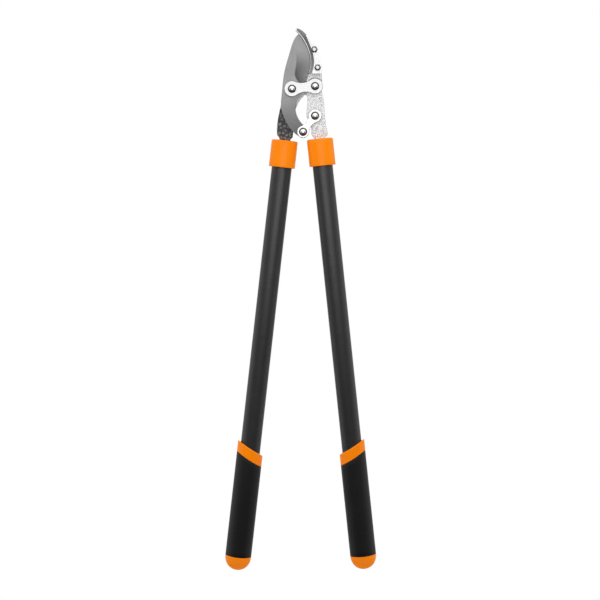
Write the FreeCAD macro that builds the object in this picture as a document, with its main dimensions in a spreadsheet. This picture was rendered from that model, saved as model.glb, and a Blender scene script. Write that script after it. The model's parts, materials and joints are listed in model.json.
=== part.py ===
"""A long-handled bypass lopper with compound action, as separate named pieces.

Frame: +Z runs up the tool from the handles to the cutting head, +X is to the right and the front
of the tool faces -Y. The origin is the point between the two handle collars where a wall peg
carries the tool. All sizes are millimetres.

How it works: the left shank and the hook carrier are one forging. The right handle turns on the
handle pivot, the blade turns on the blade pivot, and a short link joins the two, so the blade
opens by a little over half the angle of the handle.
"""
import FreeCAD, Part
import math
import os
import Sketcher

Vector = FreeCAD.Vector
ORIGIN, CENTRE = (-1, 1), 3   # Sketcher's names for the sketch origin and for a circle's centre
BLOCK_REACH = 30.0            # half the width of the blocks that cut the grip pieces apart

# Driving dimensions. A depth is measured from the origin plane towards the front of the tool, and
# a plate is given by the depth of its front face and its thickness.
SIZES = {
    # pivots: blade pivot, handle pivot, link on the handle, link on the blade tail
    "blade_pivot_x": -14.1, "blade_pivot_z": 73.0,
    "handle_pivot_x": 16.8, "handle_pivot_z": 76.6,
    "link_top_x": 16.8, "link_top_z": 36.9,
    "link_tail_x": 0.7, "link_tail_z": 15.4,
    # stack of plates through the head
    "carrier_front": -0.2, "carrier_thickness": 6.0,
    "pad_front": 4.4, "pad_thickness": 4.6,
    "counter_front": 8.4, "counter_thickness": 4.0,
    "blade_front": 4.2, "blade_thickness": 4.0,
    "shank_front": 6.0, "shank_thickness": 6.0,
    "strap_front": 9.0, "strap_thickness": 2.8,
    "rear_link_front": -0.2,
    "washer_front": 6.1, "washer_thickness": 1.7,
    # eyes, bores and rivets
    "strap_eye": 10.25, "strap_waist": 6.2,
    "tail_eye": 8.0, "link_top_eye": 8.8, "link_waist": 4.3,
    "carrier_eye": 10.0, "shank_eye": 10.7, "pad_relief": 11.2,
    "pivot_pin": 4.0, "link_pin": 3.2,
    "running_gap": 0.05, "tail_bore": 4.5,
    "dome": 5.6, "dome_height": 4.5, "rear_head": 6.4, "rear_head_height": 2.4,
    "blade_washer": 9.0, "link_washer": 7.0,
    # counter blade fasteners
    "upper_bolt_x": 15.8, "upper_bolt_z": 125.6,
    "lower_bolt_x": 20.2, "lower_bolt_z": 101.4,
    "bolt_shaft": 2.5, "bolt_bore": 2.6, "hex_flats": 8.0,
    "bolt_head": 3.4, "nut_height": 3.8, "bolt_end": 0.9,
    "edge_round": 0.6, "shank_round": 1.1,
    "counter_slope": 1.5,
    # handles: the axis of each starts at the top of its collar and leans outwards
    "left_axis_x": -23.7, "left_axis_y": 3.2, "left_axis_z": 4.3, "left_tilt": 6.4,
    "right_axis_x": 23.1, "right_axis_y": -3.0, "right_axis_z": 6.4, "right_tilt": -5.95,
    "tang_width": 15.0, "tang_length": 70.0, "tang_gap": 0.1,
    "tube_width": 27.0, "tube_depth": 19.0, "tube_wall": 1.5, "tube_top": -3.0, "tube_length": 562.0,
    "collar_width": 34.6, "collar_depth": 26.6, "collar_length": 36.5,
    "collar_top_round": 2.2, "collar_foot_round": 0.7,
    "sleeve_length": 74.0, "pin_radius": 2.0, "pin_length": 18.4, "pin_drop": 18.0,
    "core_wall": 1.7, "core_top": -408.0, "core_length": 150.0,
    "ring_width": 34.4, "ring_depth": 26.6, "grip_width": 34.1, "grip_depth": 26.3,
    "ring_top": 414.5, "ring_foot": 429.7, "ring_slant": 27.0, "seam_sag": 1.3,
    "cap_seam": 560.6, "cap_sag": 2.2, "cap_centre": -562.0, "cap_height": 17.4,
    "cap_rim": 10.0, "cap_seat_top": 20.0, "cap_spigot": 16.0, "cap_spigot_root": 6.0, "fit_gap": 0.1,
    # blocks and bores that are only long enough to cut with
    "grip_block_top": -350.0, "grip_block_length": 260.0,
    "grip_bore_top": -300.0, "grip_bore_length": 400.0,
    "slot_top": 5.0, "slot_length": 20.0, "tang_hole_length": 100.0, "cross_drill_length": 29.0,
    "nut_drill_extra": 1.0,
}

# Outlines in the plane of the tool, as (x, z) points that a smooth curve runs through.
BLADE_BACK = [(-4.3, 147.3), (-9.3, 142.4), (-14.2, 132.1), (-18.1, 118.9), (-23.0, 102.1),
              (-26.4, 82.1), (-28.1, 64.0), (-28.9, 50.0), (-24.7, 34.4), (-16.6, 20.0)]
BLADE_INSIDE = [(0.3, 25.6), (-4.9, 32.2), (-8.7, 41.5), (-9.2, 50.0), (-6.6, 58.5), (-1.3, 66.0),
                (2.2, 74.0), (3.6, 82.7), (7.5, 92.2)]
CUTTING_EDGE = [(7.5, 92.2), (10.4, 99.0), (11.9, 107.0), (11.6, 114.0), (9.8, 123.0),
                (6.2, 132.5), (1.5, 140.5), (-4.3, 147.3)]
COUNTER_EDGE = [(7.4, 93.5), (8.9, 99.8), (10.2, 108.0), (9.4, 117.0), (6.6, 127.0),
                (2.6, 135.6), (-3.0, 143.7), (-8.3, 149.4)]
COUNTER_TIP = (-8.9, 152.2)
COUNTER_BACK = [(-6.6, 154.0), (1.6, 149.2), (8.6, 141.6), (14.6, 135.2), (20.9, 122.5),
                (25.1, 108.5), (26.1, 93.5)]
COUNTER_FACE = [(12.4, 93.5), (14.4, 100.0), (15.5, 109.0), (14.5, 118.0), (11.9, 126.5),
                (8.9, 134.5), (5.0, 143.6)]
FACE_TIP = (5.3, 145.0)
FACE_BACK = [(6.4, 144.6), (8.6, 141.6), (14.6, 135.2), (20.9, 122.5), (25.1, 108.5), (26.1, 93.5)]
PAD_LEFT = [(5.2, 82.8), (8.2, 91.6), (11.1, 98.8), (12.6, 107.0), (12.3, 114.3), (10.5, 123.4),
            (7.4, 131.6)]
HEAD_BACK = [(7.4, 131.6), (13.4, 135.0), (20.5, 122.3), (24.8, 108.4), (25.8, 93.5)]
CARRIER_LEFT = [(-34.2, 11.7), (-29.9, 48.0), (-27.4, 62.0), (-26.6, 75.0), (-20.5, 84.0),
                (-9.0, 87.0), (2.5, 88.5), (8.2, 94.0), (10.3, 101.0), (11.0, 108.5),
                (10.2, 117.5), (7.4, 127.6), (7.4, 131.6)]
CARRIER_INSIDE = [(3.4, 65.0), (-1.2, 60.6), (-5.6, 54.0), (-10.2, 43.0), (-12.3, 28.0), (-12.5, 16.0),
                  (-12.9, 8.4)]
SHANK_RIGHT = [(28.1, 62.5), (28.9, 54.4), (30.8, 32.2), (33.6, 15.5), (34.3, 11.9)]
SHANK_LEFT = [(11.9, 11.4), (11.7, 22.0), (9.6, 28.6), (6.4, 33.0), (5.1, 40.0), (5.1, 64.0)]

doc = FreeCAD.newDocument("lopper")


def fill_sheet():
    """Put every driving dimension in the spreadsheet under its own name."""
    table = doc.addObject("Spreadsheet::Sheet", "sizes")
    for row, (alias, value) in enumerate(SIZES.items(), start=1):
        table.set(f"A{row}", alias)
        table.set(f"B{row}", str(value))
        table.setAlias(f"B{row}", alias)
    doc.recompute()
    return table


sheet = fill_sheet()


def size(alias):
    """A driving dimension, read back from the sheet."""
    return float(sheet.get(alias))


def bind(obj, **expressions):
    """Bind properties to the sheet. A double underscore in a name stands for a dot."""
    for prop, expression in expressions.items():
        obj.setExpression(prop.replace("__", "."), expression)


# ---------------------------------------------------------------- sketches in the tool's plane

def new_body(label):
    """A PartDesign body whose label is the node's name."""
    body = doc.addObject("PartDesign::Body", "body_" + label)
    body.Label = label
    return body


def plane_sketch(body, name, depth="0"):
    """A sketch in the plane of the tool, brought forward by a depth."""
    sketch = body.newObject("Sketcher::SketchObject", f"{name}_{body.Label}")
    plane = [item for item in body.Origin.OriginFeatures if item.Role == "XZ_Plane"][0]
    sketch.AttachmentSupport = [(plane, "")]
    sketch.MapMode = "FlatFace"
    bind(sketch, AttachmentOffset__Base__z=depth)
    return sketch


def draw_outline(sketch, pieces):
    """Draw a closed outline. Each piece is a list of points: two make a line, more make a curve.

    A piece that starts with the word arc is a circular arc through its three points.
    """
    for piece in pieces:
        if piece[0] == "arc":
            start, middle, end = [Vector(x, z, 0) for x, z in piece[1:]]
            curve = Part.Arc(start, middle, end)
        elif len(piece) == 2:
            start, end = [Vector(x, z, 0) for x, z in piece]
            curve = Part.LineSegment(start, end)
        else:
            curve = Part.BSplineCurve()
            curve.interpolate([Vector(x, z, 0) for x, z in piece])
        index = sketch.addGeometry(curve, False)
        sketch.addConstraint(Sketcher.Constraint("Block", index))


def draw_circle(sketch, x, z, radius):
    """A circle whose centre and radius follow the sheet."""
    circle = Part.Circle(Vector(size(x), size(z), 0), Vector(0, 0, 1), 1.0)
    index = sketch.addGeometry(circle, False)
    places = [("DistanceX", *ORIGIN, index, CENTRE, size(x)), ("DistanceY", *ORIGIN, index, CENTRE, size(z))]
    for constraint, alias in zip(places, (x, z)):
        number = sketch.addConstraint(Sketcher.Constraint(*constraint))
        sketch.setExpression(f"Constraints[{number}]", f"sizes.{alias}")
    number = sketch.addConstraint(Sketcher.Constraint("Radius", index, 1.0))
    sketch.setExpression(f"Constraints[{number}]", radius)


def pad_back(body, sketch, thickness):
    """Thicken a front outline towards the back of the tool."""
    pad = body.newObject("PartDesign::Pad", "pad_" + sketch.Name)
    pad.Profile = sketch
    pad.Reversed = True
    bind(pad, Length=thickness)
    doc.recompute()
    return pad


def rim_edges(body, depth):
    """Names of the edges round the outline of a body in the plane at this depth, bores left out."""
    names = []
    for number, edge in enumerate(body.Shape.Edges, start=1):
        middle = edge.valueAt((edge.FirstParameter + edge.LastParameter) / 2)
        points = [vertex.Point for vertex in edge.Vertexes] + [middle]
        if len(edge.Vertexes) == 2 and all(abs(point.y + depth) < 1e-4 for point in points):
            names.append(f"Edge{number}")
    return names


def round_rims(body, depths, radius):
    """Round the outline of a body on each of the faces at these depths."""
    names = [name for depth in depths for name in rim_edges(body, depth)]
    before = body.Shape.Volume
    base = body.Tip
    rounding = body.newObject("PartDesign::Fillet", "round_" + body.Label)
    rounding.Base = (base, names)
    bind(rounding, Radius="sizes." + radius)
    doc.recompute()
    assert body.Shape.Volume < before, "rounding took nothing off " + body.Label


def plate(label, outline, front, thickness, holes, rounding=None):
    """A flat plate: an outline padded from its front face, with round holes in it."""
    body = new_body(label)
    sketch = plane_sketch(body, "outline", "sizes." + front)
    draw_outline(sketch, outline)
    for x, z, radius in holes:
        draw_circle(sketch, x, z, radius)
    pad_back(body, sketch, "sizes." + thickness)
    if rounding:
        round_rims(body, (size(front), size(front) - size(thickness)), rounding)
    return body


def on_circle(x, z, radius, degrees):
    """A point on a circle, as (x, z)."""
    angle = math.radians(degrees)
    return (x + radius * math.cos(angle), z + radius * math.sin(angle))


def eye_arc(pivot, radius, start, end):
    """A piece of outline that follows a round eye about a pivot, between two angles."""
    x, z = size(pivot + "_x"), size(pivot + "_z")
    angles = (start, (start + end) / 2, end)
    return ["arc", *[on_circle(x, z, size(radius), angle) for angle in angles]]


def dog_bone(pivot_a, eye_a, pivot_b, eye_b, waist):
    """Outline of a strap: two round eyes joined by two hollow arcs that leave a given waist.

    The hollow arc touches both eyes and the waist line, which fixes its centre and radius.
    """
    ax, az, bx, bz = [size(pivot + axis) for pivot in (pivot_a, pivot_b) for axis in ("_x", "_z")]
    span = math.hypot(bx - ax, bz - az)
    turn = math.degrees(math.atan2(bz - az, bx - ax))
    ra, rb, half = size(eye_a), size(eye_b), size(waist)
    shift = (span ** 2 + ra ** 2 - rb ** 2) / (2 * span)
    slope = (ra - rb) / span
    square = slope ** 2
    linear = 2 * shift * slope + 2 * half - 2 * ra
    constant = shift ** 2 + half ** 2 - ra ** 2
    if square < 1e-9:
        hollow = -constant / linear
    else:
        hollow = (-linear - math.sqrt(linear ** 2 - 4 * square * constant)) / (2 * square)
    along, out = shift + slope * hollow, half + hollow
    angle_a = math.degrees(math.atan2(out, along))
    angle_b = math.degrees(math.atan2(out, span - along))

    def place(u, v):
        spin = math.radians(turn)
        return (ax + u * math.cos(spin) - v * math.sin(spin), az + u * math.sin(spin) + v * math.cos(spin))

    def touch(side):
        near = on_circle(0, 0, ra, side * angle_a)
        far = on_circle(span, 0, rb, 180 - side * angle_b)
        return place(*near), place(along, side * half), place(*far)

    upper, lower = touch(1), touch(-1)
    eye_end_a = place(-ra, 0)
    eye_end_b = place(span + rb, 0)
    return [["arc", *upper], ["arc", upper[2], eye_end_b, lower[2]],
            ["arc", lower[2], lower[1], lower[0]], ["arc", lower[0], eye_end_a, upper[0]]]


def along_handle(side, down, across):
    """A point in the tool's plane from the top of a handle's axis: so far down it, so far across."""
    tilt = math.radians(size(side + "_tilt"))
    x = size(side + "_axis_x") - down * math.sin(tilt) + across * math.cos(tilt)
    z = size(side + "_axis_z") - down * math.cos(tilt) - across * math.sin(tilt)
    return (x, z)


def tang_outline(side, neck):
    """The three lines of the tang that goes into a handle's tube, from left to right."""
    half = size("tang_width") / 2
    corners = [along_handle(side, *place) for place in
               ((-neck, -half), (size("tang_length"), -half), (size("tang_length"), half), (-neck, half))]
    return [[corners[i], corners[i + 1]] for i in range(3)]


def cut_through(body, sketch):
    """Cut the circles of a sketch right through a body, both ways."""
    before = body.Shape.Volume
    pocket = body.newObject("PartDesign::Pocket", "cut_" + sketch.Name)
    pocket.Profile = sketch
    pocket.Type = "ThroughAll"
    pocket.Midplane = True
    doc.recompute()
    assert body.Shape.Volume < before, "nothing was drilled in " + body.Label


def drill(body, holes):
    """Drill round holes right through a body."""
    sketch = plane_sketch(body, "holes")
    for x, z, radius in holes:
        draw_circle(sketch, x, z, radius)
    cut_through(body, sketch)


def cross_hole(body, side):
    """Drill the tang for the pin that locks it in the tube."""
    x, z = along_handle(side, size("pin_drop"), 0)
    sketch = plane_sketch(body, "cross_hole")
    index = sketch.addGeometry(Part.Circle(Vector(x, z, 0), Vector(0, 0, 1), 1.0), False)
    number = sketch.addConstraint(Sketcher.Constraint("Radius", index, 1.0))
    sketch.setExpression(f"Constraints[{number}]", "sizes.pin_radius + sizes.running_gap")
    cut_through(body, sketch)


# ---------------------------------------------------------------- the head

PIVOT_BORE = "sizes.pivot_pin + sizes.running_gap"
LINK_BORE = "sizes.link_pin + sizes.running_gap"
BOLT_HOLES = [("upper_bolt_x", "upper_bolt_z", "sizes.bolt_bore"),
              ("lower_bolt_x", "lower_bolt_z", "sizes.bolt_bore")]


def hook_carrier():
    """The left shank and the carrier of the hook: one forging, with a raised pad for the hook."""
    left, tang_foot, right = tang_outline("left", 2.0)
    eye = eye_arc("handle_pivot", "carrier_eye", 25, -80)
    outline = [[left[0], CARRIER_LEFT[0]], CARRIER_LEFT, HEAD_BACK, [HEAD_BACK[-1], eye[1]], eye,
               [eye[3], CARRIER_INSIDE[0]], CARRIER_INSIDE, [CARRIER_INSIDE[-1], right[1]],
               right, tang_foot, left]
    holes = [("blade_pivot_x", "blade_pivot_z", PIVOT_BORE),
             ("handle_pivot_x", "handle_pivot_z", PIVOT_BORE), *BOLT_HOLES]
    body = plate("hook_carrier", outline, "carrier_front", "carrier_thickness", holes)
    relief = eye_arc("handle_pivot", "pad_relief", 30, 152)
    pad = plane_sketch(body, "pad", "sizes.pad_front")
    draw_outline(pad, [relief, [relief[3], PAD_LEFT[0]], PAD_LEFT, HEAD_BACK, [HEAD_BACK[-1], relief[1]]])
    for hole in BOLT_HOLES:
        draw_circle(pad, *hole)
    pad_back(body, pad, "sizes.pad_thickness")
    cross_hole(body, "left")
    return body


def right_shank():
    """The right shank: a round head on the handle pivot, a broad body and a tang."""
    left, tang_foot, right = tang_outline("right", 1.5)
    eye = eye_arc("handle_pivot", "shank_eye", 180, -35)
    outline = [[left[0], SHANK_LEFT[0]], SHANK_LEFT, [SHANK_LEFT[-1], eye[1]], eye,
               [eye[3], SHANK_RIGHT[0]], SHANK_RIGHT, [SHANK_RIGHT[-1], right[1]],
               right, tang_foot, left]
    holes = [("handle_pivot_x", "handle_pivot_z", PIVOT_BORE), ("link_top_x", "link_top_z", LINK_BORE)]
    body = plate("right_shank", outline, "shank_front", "shank_thickness", holes, "shank_round")
    cross_hole(body, "right")
    return body


def cutting_blade():
    """The curved blade, with its tail running down to the link."""
    tail = eye_arc("link_tail", "tail_eye", 225, 420)
    outline = [[*BLADE_BACK, tail[1]], tail, [tail[3], *BLADE_INSIDE], CUTTING_EDGE]
    holes = [("blade_pivot_x", "blade_pivot_z", PIVOT_BORE), ("link_tail_x", "link_tail_z", "sizes.tail_bore")]
    return plate("cutting_blade", outline, "blade_front", "blade_thickness", holes)


def counter_blade():
    """The hooked counter blade: a flat body whose front is ground away towards its inner edge.

    A loft from the full outline up to the smaller front face makes the ground slope.
    """
    outline = [COUNTER_EDGE, ["arc", COUNTER_EDGE[-1], COUNTER_TIP, COUNTER_BACK[0]],
               COUNTER_BACK, [COUNTER_BACK[-1], COUNTER_EDGE[0]]]
    face = [COUNTER_FACE, ["arc", COUNTER_FACE[-1], FACE_TIP, FACE_BACK[0]],
            FACE_BACK, [FACE_BACK[-1], COUNTER_FACE[0]]]
    body = new_body("counter_blade")
    slope_foot = "sizes.counter_front - sizes.counter_slope"
    low = plane_sketch(body, "low_outline", slope_foot)
    draw_outline(low, outline)
    pad_back(body, low, "sizes.counter_thickness - sizes.counter_slope")
    foot = plane_sketch(body, "slope_foot", slope_foot)
    draw_outline(foot, outline)
    top = plane_sketch(body, "slope_top", "sizes.counter_front")
    draw_outline(top, face)
    loft = body.newObject("PartDesign::AdditiveLoft", "slope")
    loft.Profile = foot
    loft.Sections = [top]
    loft.Ruled = True
    doc.recompute()
    drill(body, BOLT_HOLES)
    return body


def pivot_strap():
    """The strap across the front of the head that ties the two main pivots together."""
    outline = dog_bone("blade_pivot", "strap_eye", "handle_pivot", "strap_eye", "strap_waist")
    holes = [("blade_pivot_x", "blade_pivot_z", PIVOT_BORE), ("handle_pivot_x", "handle_pivot_z", PIVOT_BORE)]
    return plate("pivot_strap", outline, "strap_front", "strap_thickness", holes, "edge_round")


def link_plate(label, front):
    """One of the two small straps between the right shank and the tail of the blade."""
    outline = dog_bone("link_tail", "tail_eye", "link_top", "link_top_eye", "link_waist")
    holes = [("link_tail_x", "link_tail_z", LINK_BORE), ("link_top_x", "link_top_z", LINK_BORE)]
    return plate(label, outline, front, "strap_thickness", holes, "edge_round")


def washer(label, pivot, radius, bore):
    """A flat washer that fills the step between the thin blade and a strap."""
    body = new_body(label)
    sketch = plane_sketch(body, "ring", "sizes.washer_front")
    draw_circle(sketch, pivot + "_x", pivot + "_z", "sizes." + radius)
    draw_circle(sketch, pivot + "_x", pivot + "_z", bore)
    pad_back(body, sketch, "sizes.washer_thickness")
    return body


def rivet(label, pivot, pin, back):
    """A rivet turned about its own axis: domed front head, plain shank and a low rear head."""
    front = size("strap_front")
    dome, height = size("dome"), size("dome_height")
    tail, tail_height = size("rear_head"), size("rear_head_height")
    shank = size(pin)
    ball = (dome ** 2 + height ** 2) / (2 * height)
    low_ball = (tail ** 2 + tail_height ** 2) / (2 * tail_height)
    half_way = math.asin(dome / ball) / 2
    low_half_way = math.asin(tail / low_ball) / 2
    crown = (ball * math.sin(half_way), front + height - ball * (1 - math.cos(half_way)))
    low_crown = (low_ball * math.sin(low_half_way),
                 back - tail_height + low_ball * (1 - math.cos(low_half_way)))
    body = new_body(label)
    sketch = plane_sketch(body, "half")
    draw_outline(sketch, [["arc", (0, front + height), crown, (dome, front)],
                          [(dome, front), (shank, front)], [(shank, front), (shank, back)],
                          [(shank, back), (tail, back)], ["arc", (tail, back), low_crown, (0, back - tail_height)],
                          [(0, back - tail_height), (0, front + height)]])
    turned = body.newObject("PartDesign::Revolution", "turn_" + label)
    turned.Profile = sketch
    turned.ReferenceAxis = (sketch, ["V_Axis"])
    turned.Angle = 360
    body.Placement = FreeCAD.Placement(Vector(0, 0, 0), FreeCAD.Rotation(Vector(1, 0, 0), 90))
    bind(body, Placement__Base__x=f"sizes.{pivot}_x", Placement__Base__z=f"sizes.{pivot}_z")
    doc.recompute()
    return body


def hexagon(name, x, z, depth, thickness):
    """A hexagonal prism whose axis runs from back to front of the tool."""
    prism = doc.addObject("Part::Prism", name)
    prism.Polygon = 6
    prism.Placement = FreeCAD.Placement(Vector(0, 0, 0), FreeCAD.Rotation(Vector(1, 0, 0), 90))
    bind(prism, Circumradius="sizes.hex_flats / sqrt(3)", Height=thickness,
         Placement__Base__x=x, Placement__Base__y=f"-({depth})", Placement__Base__z=z)
    return prism


def shaft(name, x, z, depth, thickness, radius):
    """A cylinder whose axis runs from back to front of the tool."""
    rod = doc.addObject("Part::Cylinder", name)
    rod.Placement = FreeCAD.Placement(Vector(0, 0, 0), FreeCAD.Rotation(Vector(1, 0, 0), 90))
    bind(rod, Radius=radius, Height=thickness,
         Placement__Base__x=x, Placement__Base__y=f"-({depth})", Placement__Base__z=z)
    return rod


def joined(label, shapes):
    """Separate solids kept together in one node."""
    group = doc.addObject("Part::Compound", "group_" + label)
    group.Label = label
    group.Links = shapes
    return group


def boolean(kind, name, first, second, label=None):
    """A Part boolean of two objects."""
    result = doc.addObject("Part::" + kind, name)
    result.Base = first
    result.Tool = second
    if label:
        result.Label = label
    return result


def counter_blade_fasteners():
    """Two hexagon bolts from behind and their nuts on the front of the hook."""
    bolts, nuts = [], []
    back = "sizes.carrier_front - sizes.carrier_thickness"
    shaft_length = "sizes.counter_front - sizes.carrier_front + sizes.carrier_thickness" \
                   " + sizes.nut_height + sizes.bolt_end"
    for place in ("upper", "lower"):
        x, z = f"sizes.{place}_bolt_x", f"sizes.{place}_bolt_z"
        head = hexagon(place + "_bolt_head", x, z, back + " - sizes.bolt_head", "sizes.bolt_head")
        rod = shaft(place + "_bolt_rod", x, z, back, shaft_length, "sizes.bolt_shaft")
        bolts.append(boolean("Fuse", place + "_bolt", head, rod))
        block = hexagon(place + "_nut_block", x, z, "sizes.counter_front", "sizes.nut_height")
        bore = shaft(place + "_nut_bore", x, z, "sizes.counter_front - sizes.nut_drill_extra",
                     "sizes.nut_height + 2 * sizes.nut_drill_extra",
                     "sizes.bolt_shaft + sizes.running_gap")
        nuts.append(boolean("Cut", place + "_nut", block, bore))
    return [joined("counter_blade_bolts", bolts), joined("counter_blade_nuts", nuts)]


# ---------------------------------------------------------------- the handles

# Widths and depths across the handle, and the heights and lengths of the cutting blocks.
TUBE_INSIDE = ("sizes.tube_width - 2 * sizes.tube_wall", "sizes.tube_depth - 2 * sizes.tube_wall")
TUBE_CLEAR = ("sizes.tube_width + 2 * sizes.fit_gap", "sizes.tube_depth + 2 * sizes.fit_gap")
CORE_OUTSIDE = ("sizes.tube_width + 2 * (sizes.fit_gap + sizes.core_wall)",
                "sizes.tube_depth + 2 * (sizes.fit_gap + sizes.core_wall)")
CORE_CLEAR = tuple(text + " + 2 * sizes.fit_gap" for text in CORE_OUTSIDE)
PLUG = tuple(text + " - 2 * sizes.fit_gap" for text in TUBE_INSIDE)
TANG_HOLE = ("sizes.tang_width + 2 * sizes.tang_gap", "sizes.carrier_thickness + 2 * sizes.tang_gap")
GRIP_BLOCK = ("sizes.grip_block_top", "sizes.grip_block_length")
GRIP_BORE = ("sizes.grip_bore_top", "sizes.grip_bore_length")


def oval(name, width, depth, top, length):
    """An elliptical bar that hangs down the handle's axis from a given height."""
    ring = doc.addObject("Part::Ellipse", name + "_ellipse")
    bind(ring, MajorRadius=f"({width}) / 2", MinorRadius=f"({depth}) / 2")
    bar = doc.addObject("Part::Extrusion", name)
    bar.Base = ring
    bar.DirMode = "Custom"
    bar.Dir = Vector(0, 0, -1)
    bar.Solid = True
    bind(bar, LengthFwd=length, Placement__Base__z=top)
    return bar


def slab(name, width, depth, top, length):
    """A rectangular bar that hangs down the handle's axis from a given height."""
    bar = doc.addObject("Part::Box", name)
    bind(bar, Length=width, Width=depth, Height=length, Placement__Base__x=f"-({width}) / 2",
         Placement__Base__y=f"-({depth}) / 2", Placement__Base__z=f"{top} - ({length})")
    return bar


def pin_bar(name, length, gap="0"):
    """The lock pin's own cylinder, across the handle from front to back."""
    rod = doc.addObject("Part::Cylinder", name)
    rod.Placement = FreeCAD.Placement(Vector(0, 0, 0), FreeCAD.Rotation(Vector(1, 0, 0), 90))
    bind(rod, Radius=f"sizes.pin_radius + {gap}", Height=length,
         Placement__Base__y=f"({length}) / 2", Placement__Base__z="-sizes.pin_drop")
    return rod


def seam_points(middle, slant, sag, outside):
    """A seam across the handle, drawn out to a block's two sides as three points of an arc.

    The seam crosses both sides of the grip at its middle height, tilted by the slant, and its centre
    is lower by the sag.
    """
    rise = math.tan(math.radians(slant)) * BLOCK_REACH
    lift = sag * ((BLOCK_REACH / (size("grip_width") / 2)) ** 2 - 1)
    return ((-BLOCK_REACH, -middle + lift - outside * rise), (0, -middle - sag),
            (BLOCK_REACH, -middle + lift + outside * rise))


def seam_block(name, upper, lower):
    """A block between two seams that run straight through the handle from front to back."""
    sketch = doc.addObject("Sketcher::SketchObject", name + "_sketch")
    sketch.Placement = FreeCAD.Placement(Vector(0, BLOCK_REACH, 0), FreeCAD.Rotation(Vector(1, 0, 0), 90))
    draw_outline(sketch, [["arc", *upper], [upper[2], lower[2]],
                          ["arc", lower[2], lower[1], lower[0]], [lower[0], upper[0]]])
    block = doc.addObject("Part::Extrusion", name)
    block.Base = sketch
    block.DirMode = "Normal"
    block.LengthFwd = 2 * BLOCK_REACH
    block.Solid = True
    return block


def on_handle(obj, side):
    """Put a finished handle piece on its axis."""
    obj.Placement = FreeCAD.Placement(Vector(0, 0, 0), FreeCAD.Rotation(Vector(0, 1, 0), size(side + "_tilt")))
    bind(obj, Placement__Base__x=f"sizes.{side}_axis_x", Placement__Base__y=f"sizes.{side}_axis_y",
         Placement__Base__z=f"sizes.{side}_axis_z")
    return obj


def tube(side):
    """The oval tube, drilled for the lock pin."""
    skin = oval(side + "_tube_skin", "sizes.tube_width", "sizes.tube_depth", "sizes.tube_top", "sizes.tube_length")
    hollow = oval(side + "_tube_hollow", *TUBE_INSIDE, "sizes.tube_top", "sizes.tube_length")
    shell = boolean("Cut", side + "_tube_shell", skin, hollow)
    hole = pin_bar(side + "_tube_drill", "sizes.cross_drill_length", "sizes.running_gap")
    return boolean("Cut", side + "_tube_drilled", shell, hole, side + "_tube")


def collar(side):
    """A plastic cup over the top of the tube, rounded outside and slotted for the tang."""
    cup = oval(side + "_collar_block", "sizes.collar_width", "sizes.collar_depth", "0", "sizes.collar_length")
    doc.recompute()
    rounded = doc.addObject("Part::Fillet", side + "_collar_rounded")
    rounded.Base = cup
    rounded.Edges = [(number, size(radius), size(radius))
                     for number, edge in enumerate(cup.Shape.Edges, start=1)
                     for height, radius in ((0, "collar_top_round"), (-size("collar_length"), "collar_foot_round"))
                     if edge.isClosed() and abs(edge.BoundBox.ZMax - height) < 1e-6]
    socket = oval(side + "_collar_socket", *TUBE_CLEAR, "sizes.tube_top + sizes.fit_gap", "sizes.collar_length")
    slot = slab(side + "_collar_slot", *TANG_HOLE, "sizes.slot_top", "sizes.slot_length")
    cup_open = boolean("Cut", side + "_collar_open", rounded, socket)
    return boolean("Cut", side + "_collar_cup", cup_open, slot, side + "_collar")


def tang_sleeve(side):
    """The plastic packing between the flat tang and the oval tube."""
    packing = oval(side + "_sleeve_block", *PLUG, "sizes.tube_top", "sizes.sleeve_length")
    tang_hole = slab(side + "_sleeve_hole", *TANG_HOLE, "0", "sizes.tang_hole_length")
    packing_open = boolean("Cut", side + "_sleeve_open", packing, tang_hole)
    hole = pin_bar(side + "_sleeve_drill", "sizes.cross_drill_length", "sizes.running_gap")
    return boolean("Cut", side + "_sleeve_drilled", packing_open, hole, side + "_tang_sleeve")


def tang_pin(side):
    """The pin that locks tang, packing and tube together."""
    return joined(side + "_tang_pin", [pin_bar(side + "_lock_pin", "sizes.pin_length")])


def grip_seams(outside):
    """The seams across a grip, from the top down: above it, ring top, ring foot, cap, below it."""
    block_top, block_foot = -size("grip_block_top"), size("grip_block_length") - size("grip_block_top")
    slant, sag = size("ring_slant"), size("seam_sag")
    return [seam_points(block_top, 0, sag, outside),
            seam_points(size("ring_top"), slant, sag, outside),
            seam_points(size("ring_foot"), slant, sag, outside),
            seam_points(size("cap_seam"), 0, size("cap_sag"), outside),
            seam_points(block_foot, 0, sag, outside)]


def grip_core(side, seams):
    """The hard core of the grip, whose top shows as a slanted ring."""
    above, ring_top, ring_foot = seams[:3]
    ring_bar = oval(side + "_ring_bar", "sizes.ring_width", "sizes.ring_depth", *GRIP_BLOCK)
    ring = boolean("Common", side + "_ring_band", ring_bar, seam_block(side + "_ring_zone", ring_top, ring_foot))
    core_bar = oval(side + "_core_bar", *CORE_OUTSIDE, "sizes.core_top", "sizes.core_length")
    whole = boolean("Fuse", side + "_core_block", ring, core_bar)
    trimmed = boolean("Cut", side + "_core_trim", whole, seam_block(side + "_core_zone", above, ring_top))
    bore = oval(side + "_core_bore", *TUBE_CLEAR, *GRIP_BORE)
    return boolean("Cut", side + "_core_bored", trimmed, bore, side + "_grip_core")


def grip_cover(side, seams):
    """The soft cover over the core, from the foot of the ring to the end cap."""
    ring_foot, cap_top = seams[2:4]
    bar = oval(side + "_cover_bar", "sizes.grip_width", "sizes.grip_depth", *GRIP_BLOCK)
    band = boolean("Common", side + "_cover_band", bar, seam_block(side + "_cover_zone", ring_foot, cap_top))
    bore = oval(side + "_cover_bore", *CORE_CLEAR, *GRIP_BORE)
    return boolean("Cut", side + "_cover_bored", band, bore, side + "_grip_cover")


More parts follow.
